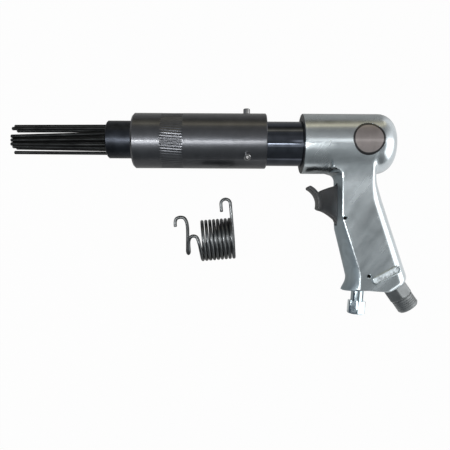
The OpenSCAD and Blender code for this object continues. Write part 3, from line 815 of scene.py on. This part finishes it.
def make_housing():
    """Turned tube with a straight knurl that slants a little, and holes for the set screws."""
    turn = -full_turn(KNURL_TEETH * 8)
    rings = []
    for u, radius, depth in housing_profile():
        slant = KNURL_SLANT * (u - KNURL_BACK) / (KNURL_FRONT - KNURL_BACK)
        out = radius - depth / 2 * (1 - np.cos(KNURL_TEETH * (turn + slant)))
        rings.append(stacked(u, HOUSING_V + out * np.cos(turn), out * np.sin(turn)))
    piece = mesh_object("needle_tube", *looped(rings))
    for degrees in SCREW_TURNS:
        a = math.radians(degrees)
        out = np.array([0, math.cos(a), math.sin(a)])
        hole = cylinder(np.array([SCREW_U, HOUSING_V, 0]) + SCREW_FROM * out, out, SCREW_R, 15.0)
        boolean(piece, mesh_object("hole", *hole), "DIFFERENCE")
    place(piece)
    smooth_by_angle(piece, 38)
    return piece


# Inlet and regulator

LATHE_TURN = full_turn(72)
INLET_AF = 19.6
INLET_TURN = math.radians(12)
INLET_HEX = 12.0
INLET_END_R = 9.5
INLET_LEN = 23.5
INLET_CUT = 1.4
INLET_NECK_R = INLET_END_R - 0.5
SHANK_R = 8.0
SHANK_LEN = 12.0
AIR_R = 4.5
PIPE_R = 5.75
PIPE_LEN = 14.0
GROOVE_PITCH = 1.7
GROOVE_DEPTH = 0.3
THREAD_STEP = 0.6
THREAD_DEPTH = 0.4
KNOB_AF = 14.0
KNOB_LEN = 11.4
KNOB_TURN = math.radians(-3)
KNOB_SLOT_HALF = 0.63
KNOB_SLOT_DEPTH = 2
NECK_LEN = 10.8
STEM_R = 5.5
STEM_UP = 42.0
STEM_CUT = 0.4
STEM_CORE = 0.5
HALF_CUT = 0.05
HALF_LEN = 10

# Start, end and radius of the grooves for the pin and the seal
STEM_GROOVES = ((10.9, 14.3, 2.2), (26.0, 28.0, 4.1))


def hexagon(turn, flats):
    """Radius of a hexagon at each turn, with a flat at turn zero."""
    return flats / 2 / np.cos((turn + math.pi / 6) % (math.pi / 3) - math.pi / 6)


def lathe(name, rows):
    """Ring-shaped piece about Z through rows of height and radius."""
    cosine, sine = np.cos(LATHE_TURN), np.sin(LATHE_TURN)
    rings = [stacked(radius * cosine, radius * sine, height) for height, radius in rows]
    return mesh_object(name, *looped(rings))


def inlet_spot(x, y, z):
    """Point beside the inlet axis, at a height out of the grip."""
    cosine, sine = math.cos(INLET_LEAN), math.sin(INLET_LEAN)
    return INLET[0] + (x * cosine + z * sine), INLET[1] + (x * sine - z * cosine), INLET[2] + y


def make_inlet():
    """Hexagon bushing with a ringed end and a threaded pipe hole."""
    nut = hexagon(LATHE_TURN - INLET_TURN, INLET_AF)
    rows = [(-SHANK_LEN, AIR_R), (-SHANK_LEN, SHANK_R), (0, SHANK_R), (0, nut)]
    for drop in (2.2, 1.6, 1.0, 0.5, 0):
        rows.append((INLET_HEX - drop, np.minimum(nut, INLET_AF / 2 - 0.4 + 0.9 * drop)))
    rows += [(INLET_HEX, INLET_NECK_R), (INLET_HEX + 0.6, INLET_NECK_R), (INLET_HEX + 0.8, INLET_END_R)]
    for low in np.arange(INLET_HEX + 2.4, INLET_LEN - 2.6, GROOVE_PITCH):
        for step, depth in ((0, 0), (0.25, GROOVE_DEPTH), (0.6, GROOVE_DEPTH), (0.85, 0)):
            rows.append((low + step, INLET_END_R - depth))
    rows += [(INLET_LEN - INLET_CUT, INLET_END_R), (INLET_LEN, INLET_END_R - 1.0)]
    rows.append((INLET_LEN, PIPE_R + 0.9))
    for step, high in enumerate(np.arange(INLET_LEN - 0.7, INLET_LEN - PIPE_LEN, -THREAD_STEP)):
        rows.append((high, PIPE_R - THREAD_DEPTH * (step % 2)))
    rows.append((INLET_LEN - PIPE_LEN, AIR_R))
    piece = lathe("air_inlet", rows)
    place(piece, inlet_spot)
    smooth_by_angle(piece, 30)
    return piece


def make_regulator():
    """Turning valve with a hexagon knob, a slotted end and a half-cut valve end."""
    knob = hexagon(LATHE_TURN - KNOB_TURN, KNOB_AF)
    broken = np.minimum(knob, KNOB_AF / 2 + 0.6)
    edge = np.minimum(knob, KNOB_AF / 2 - 0.2)
    low = -NECK_LEN - KNOB_LEN
    rows = [(low, STEM_CORE), (low, edge), (low + 0.5, broken), (low + 1.0, knob),
            (-NECK_LEN - 0.4, knob), (-NECK_LEN, broken), (-NECK_LEN, STEM_R)]
    for start, end, radius in STEM_GROOVES:
        rows += [(start, STEM_R), (start, radius), (end, radius), (end, STEM_R)]
    rows += [(STEM_UP - STEM_CUT, STEM_R), (STEM_UP, STEM_R - STEM_CUT), (STEM_UP, STEM_CORE)]
    piece = lathe("air_valve", rows)
    half = prism(rectangle(HALF_CUT, 20, -10, 10), STEM_UP - HALF_LEN, STEM_UP + HALF_LEN)
    slot = prism(rectangle(-20, 20, -KNOB_SLOT_HALF, KNOB_SLOT_HALF), low - 1, low + KNOB_SLOT_DEPTH)
    boolean(piece, mesh_object("cuts", *joined([half, slot])), "DIFFERENCE")
    place(piece, lambda x, y, z: (*regulator_spot(x, z), -y))
    clean(piece)
    smooth_by_angle(piece, 30)
    return piece


# Label

LABEL_SIDES = 96
LABEL_RADII = [BADGE_R, BADGE_R, BADGE_R - 0.25, BADGE_R - 0.9, 11.0, 9.0, 7.0, 5.0, 3.0, 1.0]
LABEL_RIM = 0.04
LABEL_DOME = 0.24


def make_label():
    """Domed bare disc on the side of the head."""
    crown = [LABEL_RIM + LABEL_DOME * (1 - (r / BADGE_R) ** 2) for r in LABEL_RADII[2:]]
    points, faces = capped(badge_rings(LABEL_RADII, [-BADGE_SINK, 0.0] + crown, LABEL_SIDES))
    piece = mesh_object("side_label", to_row(points), faces)
    smooth_by_angle(piece, 50)
    return piece


# Materials


def new_node(tree, kind, **settings):
    made = tree.nodes.new(kind)
    for name, value in settings.items():
        setattr(made, name, value)
    return made


def set_inputs(node, values):
    for name, value in values.items():
        node.inputs[name].default_value = value


def set_stops(ramp, stops):
    """Gives a colour ramp its stops, as pairs of position and colour."""
    elements = ramp.color_ramp.elements
    while len(elements) < len(stops):
        elements.new(0.5)
    for element, (position, colour) in zip(elements, stops):
        element.position = position
        element.color = (*colour, 1)


class Finish:
    """A material and the nodes that feed its surface shader."""

    def __init__(self, name, **sockets):
        self.material = bpy.data.materials.new(name)
        self.material.use_nodes = True
        self.tree = self.material.node_tree
        self.surface = self.tree.nodes["Principled BSDF"]
        for socket, value in sockets.items():
            self.surface.inputs[socket.replace("_", " ").title()].default_value = value

    def node(self, kind, **settings):
        return new_node(self.tree, kind, **settings)

    def link(self, output, target):
        self.tree.links.new(output, target)

    def noise(self, size, turn=0.0, detail=4.0, distortion=0.0):
        """Cloudy value with features of a size in millimetres, or of three sizes along turned axes."""
        sizes = size if isinstance(size, tuple) else (size, size, size)
        coordinates = self.node("ShaderNodeTexCoord")
        mapping = self.node("ShaderNodeMapping", vector_type="TEXTURE")
        scale = [length * MM for length in sizes]
        set_inputs(mapping, {"Scale": scale, "Rotation": (0, 0, math.radians(turn))})
        made = self.node("ShaderNodeTexNoise")
        set_inputs(made, {"Scale": 1.0, "Detail": detail, "Roughness": 0.55, "Distortion": distortion})
        self.link(coordinates.outputs["Object"], mapping.inputs["Vector"])
        self.link(mapping.outputs["Vector"], made.inputs["Vector"])
        return made.outputs["Fac"]

    def ramp(self, source, stops):
        made = self.node("ShaderNodeValToRGB")
        set_stops(made, stops)
        self.link(source, made.inputs["Fac"])
        return made.outputs["Color"]

    def tone(self, source, dark, light, start=0.3, end=0.7):
        """Base colour between two colours, by a noise value."""
        self.link(self.ramp(source, [(start, dark), (end, light)]), self.surface.inputs["Base Color"])

    def rough(self, source, low, high):
        """Roughness between two numbers, by a noise value."""
        made = self.node("ShaderNodeMapRange")
        set_inputs(made, {"From Min": 0.3, "From Max": 0.7, "To Min": low, "To Max": high})
        self.link(source, made.inputs["Value"])
        self.link(made.outputs["Result"], self.surface.inputs["Roughness"])

    def bump(self, height, distance, strength=1.0, under=None):
        made = self.node("ShaderNodeBump")
        set_inputs(made, {"Distance": distance, "Strength": strength})
        self.link(height, made.inputs["Height"])
        if under:
            self.link(under, made.inputs["Normal"])
        self.link(made.outputs["Normal"], self.surface.inputs["Normal"])
        return made.outputs["Normal"]


PLAIN = (1, 1, 1)
COOL = (0.95, 1.0, 1.02)
POLISH = (0.91, 0.99, 1.03)
SLATE = (0.83, 0.97, 1.04)
WARM = (1.13, 1.02, 0.78)
STEEL = (0.95, 0.985, 1.08)
BLUE = (0.88, 0.98, 1.2)


def grey(value, tint=PLAIN):
    return tuple(value * t for t in tint)


def cast_aluminium():
    """Polished casting: cloudy tone, hand-polished streaks and a slightly wavy skin."""
    finish = Finish("cast_aluminium", metallic=1.0)
    finish.tone(finish.noise(22, detail=6, distortion=1.2), grey(0.56, POLISH), grey(0.65, POLISH))
    finish.rough(finish.noise((45, 9, 14), turn=52, detail=6), 0.2, 0.29)
    wave = finish.bump(finish.noise(15, detail=3), 0.3 * MM, 0.2)
    finish.bump(finish.noise((7, 0.6, 0.6), turn=52, detail=3), 0.01 * MM, 0.25, wave)
    return finish.material


def rough_aluminium_painted_shade():
    """Front of the grip, brushed over but not polished, with a darker and bluer tone than the polished
    casting that is painted shade.
    """
    finish = Finish("rough_aluminium_painted_shade", metallic=1.0)
    finish.tone(finish.noise(12, detail=6, distortion=1.0), grey(0.46, SLATE), grey(0.6, SLATE))
    finish.rough(finish.noise((4, 22, 9), detail=5), 0.4, 0.52)
    finish.bump(finish.noise(2.2, detail=4), 0.05 * MM, 0.3)
    return finish.material


def grainy_aluminium():
    """Raised pad as it left the mould."""
    finish = Finish("grainy_aluminium", metallic=1.0)
    finish.tone(finish.noise(2.4, detail=5), grey(0.3, POLISH), grey(0.7, POLISH), 0.35, 0.6)
    finish.rough(finish.noise(1.6, detail=4), 0.4, 0.55)
    finish.bump(finish.noise(1.3, detail=4), 0.4 * MM, 0.9)
    return finish.material


TURNING_LINES = (0.9, 16, 16)
LONG_GRAIN = (25, 1.6, 1.6)
FINE_GRAIN = 1.4


def dark_steel(name, tint, tones, roughness, grain=TURNING_LINES, oil=0.0):
    """Dark steel with a mottled finish, a fine grain and, where asked, a film of oil."""
    finish = Finish(name, metallic=1.0, coat_weight=oil, coat_roughness=0.09)
    finish.tone(finish.noise(9, detail=6), *[grey(tone, tint) for tone in tones])
    finish.rough(finish.noise(20, detail=5), *roughness)
    finish.bump(finish.noise(grain, detail=3), 0.003 * MM, 0.4)
    return finish.material


def bright_steel():
    finish = Finish("bright_steel", metallic=1.0)
    finish.tone(finish.noise(11, detail=5), grey(0.5, SLATE), grey(0.6, SLATE))
    finish.rough(finish.noise(16), 0.06, 0.12)
    finish.bump(finish.noise(1.1, detail=2), 0.004 * MM, 0.3)
    return finish.material


def black_paint():
    finish = Finish("trigger_black")
    finish.tone(finish.noise(8, detail=5), grey(0.008, SLATE), grey(0.018, BLUE), 0.3, 0.75)
    finish.rough(finish.noise(12), 0.26, 0.42)
    finish.bump(finish.noise(1.1, detail=3), 0.03 * MM, 0.5)
    return finish.material


def brass():
    finish = Finish("brass", metallic=1.0)
    finish.tone(finish.noise(8), (0.55, 0.38, 0.15), (0.72, 0.53, 0.25))
    finish.rough(finish.noise(14), 0.2, 0.35)
    return finish.material


def rubber():
    finish = Finish("seal_rubber")
    finish.tone(finish.noise(5), grey(0.01), grey(0.03))
    finish.rough(finish.noise(7), 0.5, 0.7)
    return finish.material


def label_print():
    """Bare silver face inside a dark ring, under a clear dome."""
    finish = Finish("label", metallic=0.6, coat_weight=1.0, coat_roughness=0.06)
    middle = to_row([BADGE_U, HEAD_R * math.sin(BADGE_TURN), HEAD_R * math.cos(BADGE_TURN)])
    coordinates = finish.node("ShaderNodeTexCoord")
    away = finish.node("ShaderNodeVectorMath", operation="DISTANCE")
    finish.link(coordinates.outputs["Object"], away.inputs[0])
    away.inputs[1].default_value = middle
    share = finish.node("ShaderNodeMath", operation="DIVIDE")
    finish.link(away.outputs["Value"], share.inputs[0])
    share.inputs[1].default_value = BADGE_R * MM
    silver = [(0.3, (0.2, 0.178, 0.172)), (0.7, (0.25, 0.222, 0.215))]
    face = finish.ramp(finish.noise((9, 26, 26)), silver)
    rim = finish.ramp(share.outputs["Value"], [(0.875, (0, 0, 0)), (0.89, (1, 1, 1))])
    mix = finish.node("ShaderNodeMix", data_type="RGBA")
    finish.link(rim, mix.inputs["Factor"])
    finish.link(face, mix.inputs[6])
    mix.inputs[7].default_value = (0.012, 0.012, 0.013, 1)
    finish.link(mix.outputs[2], finish.surface.inputs["Base Color"])
    finish.rough(finish.noise(3), 0.3, 0.42)
    return finish.material


FINISHES = {
    "cast_aluminium": cast_aluminium(),
    "black_steel": dark_steel("black_steel", STEEL, (0.09, 0.112), (0.3, 0.35), oil=0.4),
    "barrel_steel": dark_steel("barrel_steel", BLUE, (0.07, 0.105), (0.08, 0.12)),
    "needle_steel": dark_steel("needle_steel", COOL, (0.012, 0.03), (0.42, 0.6), LONG_GRAIN),
    "trigger_black": black_paint(),
    "spring_steel": dark_steel("spring_steel", COOL, (0.075, 0.16), (0.26, 0.36), FINE_GRAIN),
    "inlet_steel": dark_steel("inlet_steel", COOL, (0.17, 0.26), (0.44, 0.56), FINE_GRAIN),
    "bright_steel": bright_steel(),
    "label": label_print(),
    "brass": brass(),
    "seal": rubber(),
}
SCREW_STEEL = dark_steel("screw_steel", PLAIN, (0.27, 0.38), (0.18, 0.26), FINE_GRAIN)
NOZZLE_BLACK = dark_steel("nozzle_black", BLUE, (0.025, 0.05), (0.32, 0.42))
# Darker, bluer aluminium for the front of the grip: rougher, and partly painted shade
ROUGH_FRONT_PAINTED_SHADE = rough_aluminium_painted_shade()
PAD_GRAIN = grainy_aluminium()
# Dark steel on the front face of the aluminium head: painted shade
HEAD_FRONT_PAINTED_SHADE = dark_steel("head_front_painted_shade", COOL, (0.1, 0.16), (0.4, 0.5))
# Near-black on the pins and on the walls of their holes: painted shade in the holes
PIN_HOLE_PAINTED_SHADE = dark_steel("pin_hole_painted_shade", PLAIN, (0.008, 0.02), (0.4, 0.55), FINE_GRAIN)


def dress(piece, finish):
    piece.data.materials.clear()
    piece.data.materials.append(finish)


# Bounds, in metres or as shares of a normal, of the areas of the casting with a finish of their own, of
# which the pin holes and the front face of the head are painted shade
FRONT_FROM = HEAD_FRONT[0] + 12 * MM
FRONT_LEAN = -0.6
PIN_REACH = (PIN_R + 0.1) * MM
PIN_DEPTH = (GRIP_HALF - PIN_EDGE / 2) * MM
PAD_FROM = to_row([0, PAD_V + PAD_LEN, 0])[1]
HEAD_FRONT_SHADE_TO = HEAD_FRONT[0] + 0.3 * MM


def finish_handle(piece):
    """Gives the front of the grip, the pin holes, the pad and the front of the head their own finish; the
    dark of the pin holes and of the front of the head is painted shade, and so is the darker tone of the
    front of the grip.
    """
    for finish in (ROUGH_FRONT_PAINTED_SHADE, PIN_HOLE_PAINTED_SHADE, PAD_GRAIN, HEAD_FRONT_PAINTED_SHADE):
        piece.data.materials.append(finish)
    holes = [to_row([u, v, 0]) for u, v in PIN_SPOTS]
    for face in piece.data.polygons:
        spot = face.center
        # Front of the grip: rougher, with a darker, bluer tone that is painted shade
        if face.normal.x < FRONT_LEAN and spot.x > FRONT_FROM:
            face.material_index = 1
        # Painted shade: the walls of the pin holes take the near-black of the pins
        if abs(spot.z - HEAD_FRONT[2]) < PIN_DEPTH:
            if min(math.hypot(spot.x - hole[0], spot.y - hole[1]) for hole in holes) < PIN_REACH:
                face.material_index = 2
        height = (spot.z - HEAD_FRONT[2]) / MM - GRIP_HALF
        if 0.05 < height < 0.5 and face.normal.z > 0.9 and spot.y < PAD_FROM:
            face.material_index = 3
        # Painted shade: the front face of the head and the mouth of its bore take dark steel
        if spot.x < HEAD_FRONT_SHADE_TO:
            face.material_index = 4


# The object


def add(piece, slot, body, *replaced):
    """A new piece rides on a body, takes a finish and stands for CAD nodes."""
    dress(piece, FINISHES[slot])
    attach(piece, body)
    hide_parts(*replaced)
    return piece


def spring(name, path, wire_r, body, node):
    points, faces = sweep(path, wire_r)
    return add(mesh_object(name, to_row(points), faces), "spring_steel", body, node)


for part in frame["record"]["subparts"]:
    dress(nodes[part["node"]], FINISHES[part["material_slot"]])
dress(nodes["nozzle"], NOZZLE_BLACK)
dress(nodes["set_screws"], SCREW_STEEL)
# The pins are near-black as painted shade deep in their holes
for pin in ("trigger_pin", "regulator_pin"):
    dress(nodes[pin], PIN_HOLE_PAINTED_SHADE)

finish_handle(add(make_handle(), "cast_aluminium", "gun", "handle"))
add(make_trigger(), "trigger_black", "trigger", "trigger")
add(make_label(), "label", "gun", "side_badge")
add(make_housing(), "black_steel", "gun", "needle_housing")
add(make_inlet(), "inlet_steel", "gun", "inlet_bushing")
add(make_regulator(), "bright_steel", "regulator", "air_regulator")
spring("retainer_coil", retainer_path(), RET_WIRE / 2, "retainer_spring", "retainer_spring")

NEEDLE_COIL_BACK = -100.4
NEEDLE_COIL_FRONT = -133.45
NEEDLE_COIL_R = 18.0
NEEDLE_WIRE_R = 1.2
needle_coil = helix(NEEDLE_COIL_BACK, NEEDLE_COIL_FRONT, HOUSING_V, NEEDLE_COIL_R, 5)
needle_spring = spring("needle_return_coil", needle_coil, NEEDLE_WIRE_R, "gun", "needle_spring")
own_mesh(needle_spring)

THROTTLE_COIL_FRONT = 59.95
THROTTLE_COIL_BACK = 65.55
THROTTLE_COIL_R = 3.4
THROTTLE_WIRE_R = 0.4
throttle_coil = helix(THROTTLE_COIL_FRONT, THROTTLE_COIL_BACK, THROTTLE_V, THROTTLE_COIL_R, 4)
throttle_spring = spring("throttle_return_coil", throttle_coil, THROTTLE_WIRE_R, "gun", "throttle_spring")
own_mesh(throttle_spring)


# Camera straight above, as the photograph was taken

CAMERA_PLACE = (0.0080, -0.0122, 0.4711)
CAMERA_ROLL = math.radians(0.3)
CAMERA_LENS = 40.45

camera_data = bpy.data.cameras.new("camera")
camera_data.lens = CAMERA_LENS
camera_data.sensor_width = 36.0
camera_data.clip_start = 0.01
camera = bpy.data.objects.new("camera", camera_data)
camera.location = CAMERA_PLACE
camera.rotation_euler = (0, 0, CAMERA_ROLL)
scene.collection.objects.link(camera)
scene.camera = camera


# Floor and light

FLOOR_HALF = 4.0
FLOOR_WHITE = 0.975
FLOOR_COLOUR = (0.3, 0.295, 0.285, 1)
MIRROR_SLOPE = (1.0, -0.3, 0.0)
MIRROR_FROM = 0.115
MIRROR_TO = 0.17
MIRROR_LOW = 0.12
MIRROR_HIGH = 0.9


def mirror_share(tree):
    """Share of the white that a mirror sees, which grows to the right of the object and below it, so that
    the metal shows a painted white reflection there.
    """
    geometry = tree.nodes.new("ShaderNodeNewGeometry")
    slope = new_node(tree, "ShaderNodeVectorMath", operation="DOT_PRODUCT")
    slope.inputs[1].default_value = MIRROR_SLOPE
    tree.links.new(geometry.outputs["Position"], slope.inputs[0])
    share = new_node(tree, "ShaderNodeMapRange", interpolation_type="SMOOTHSTEP")
    set_inputs(share, {"From Min": MIRROR_FROM, "From Max": MIRROR_TO})
    set_inputs(share, {"To Min": MIRROR_LOW, "To Max": MIRROR_HIGH})
    tree.links.new(slope.outputs["Value"], share.inputs["Value"])
    return share.outputs["Result"]


def seen_share(tree, camera_share, mirror):
    """How much of the white a ray takes, by whether the camera or a mirror sends it."""
    path = tree.nodes.new("ShaderNodeLightPath")
    shares = {"Is Camera Ray": camera_share, "Is Glossy Ray": mirror, "Is Transmission Ray": mirror}
    total = None
    for name, share in shares.items():
        step = new_node(tree, "ShaderNodeMath", operation="MULTIPLY_ADD")
        tree.links.new(path.outputs[name], step.inputs[0])
        if isinstance(share, float):
            step.inputs[1].default_value = share
        else:
            tree.links.new(share, step.inputs[1])
        step.inputs[2].default_value = 0
        if total:
            tree.links.new(total, step.inputs[2])
        total = step.outputs["Value"]
    return total


def floor_material():
    """Pale matt floor that the camera sees as white, with the object's shadow left in it."""
    finish = Finish("floor", base_color=FLOOR_COLOUR, roughness=0.9)
    finish.surface.inputs["Specular IOR Level"].default_value = 0.1
    white = finish.node("ShaderNodeEmission")
    white.inputs["Strength"].default_value = 1.0
    mix = finish.node("ShaderNodeMixShader")
    finish.link(seen_share(finish.tree, FLOOR_WHITE, mirror_share(finish.tree)), mix.inputs["Fac"])
    finish.link(finish.surface.outputs["BSDF"], mix.inputs[1])
    finish.link(white.outputs["Emission"], mix.inputs[2])
    finish.link(mix.outputs["Shader"], finish.tree.nodes["Material Output"].inputs["Surface"])
    return finish.material


floor_corners = [(x * FLOOR_HALF, y * FLOOR_HALF, 0) for x, y in ((-1, -1), (1, -1), (1, 1), (-1, 1))]
floor = mesh_object("floor", floor_corners, [(0, 1, 2, 3)])
floor.data.materials.append(floor_material())

# Light of the room along X and along Y, from one side to the other
WORLD_ALONG = [
    (0.0, grey(0.3, BLUE)), (0.3, grey(0.6, COOL)), (0.5, grey(0.9)),
    (0.65, grey(0.56)), (0.8, grey(1.3)), (1.0, grey(2.4)),
]
WORLD_ACROSS = [
    (0.0, grey(0.24, COOL)), (0.1, grey(0.3, COOL)), (0.2, grey(0.4, COOL)), (0.35, grey(0.46, COOL)),
    (0.5, grey(0.36, COOL)), (0.6, grey(0.54)), (0.72, grey(0.55)), (0.82, grey(0.36)), (0.9, grey(0.42)),
    (0.93, grey(0.7, WARM)), (0.947, grey(1.7, WARM)), (0.965, grey(0.7, WARM)), (0.985, grey(0.26, WARM)),
    (1.0, grey(0.16)),
]


def studio_world():
    """Soft room light, paler to the right, and white where the camera looks past the floor."""
    world = bpy.data.worlds.new("studio")
    world.use_nodes = True
    tree = world.node_tree
    background = tree.nodes["Background"]
    coordinates = tree.nodes.new("ShaderNodeTexCoord")
    direction = tree.nodes.new("ShaderNodeSeparateXYZ")
    tree.links.new(coordinates.outputs["Generated"], direction.inputs["Vector"])
    ramps = []
    for axis, stops in (("X", WORLD_ALONG), ("Y", WORLD_ACROSS)):
        step = new_node(tree, "ShaderNodeMath", operation="MULTIPLY_ADD")
        step.inputs[1].default_value = 0.5
        step.inputs[2].default_value = 0.5
        tree.links.new(direction.outputs[axis], step.inputs[0])
        ramp = tree.nodes.new("ShaderNodeValToRGB")
        set_stops(ramp, stops)
        tree.links.new(step.outputs["Value"], ramp.inputs["Fac"])
        ramps.append(ramp.outputs["Color"])
    room = new_node(tree, "ShaderNodeMix", data_type="RGBA", blend_type="MULTIPLY")
    room.inputs["Factor"].default_value = 1.0
    tree.links.new(ramps[0], room.inputs[6])
    tree.links.new(ramps[1], room.inputs[7])
    white = new_node(tree, "ShaderNodeMix", data_type="RGBA")
    tree.links.new(seen_share(tree, 1.0, 0.0), white.inputs["Factor"])
    tree.links.new(room.outputs[2], white.inputs[6])
    white.inputs[7].default_value = (1, 1, 1, 1)
    tree.links.new(white.outputs[2], background.inputs["Color"])
    background.inputs["Strength"].default_value = 1.0
    scene.world = world


studio_world()


def softbox(name, place_at, aim, size, glow):
    """Area lamp of a given glow, turned towards a point."""
    data = bpy.data.lights.new(name, "AREA")
    data.shape = "RECTANGLE"
    data.size, data.size_y = size
    data.energy = glow * math.pi * size[0] * size[1]
    lamp = bpy.data.objects.new(name, data)
    lamp.location = place_at
    lamp.rotation_euler = (Vector(aim) - Vector(place_at)).to_track_quat("-Z", "Y").to_euler()
    lamp.visible_camera = False
    scene.collection.objects.link(lamp)


softbox("strip_above", (-0.21, -0.012, 0.5), (-0.21, 0.03, 0.05), (0.68, 0.02), 17.5)
softbox("strip_left", (-0.32, -0.018, 0.5), (-0.32, 0.03, 0.05), (0.44, 0.02), 24.0)
softbox("panel_above", (-0.24, -0.064, 0.5), (-0.24, 0.03, 0.05), (0.63, 0.068), 7.0)
softbox("head_panel", (0.22, 0.085, 0.3), (0.22, 0.085, 0.0), (0.24, 0.05), 1.3)
softbox("head_fill", (0.1, -0.012, 0.3), (0.1, -0.012, 0.0), (0.075, 0.09), 0.85)
softbox("right_box", (0.6, -0.1, 0.3), (0.1, 0.0, 0.0), (0.6, 0.55), 1.8)
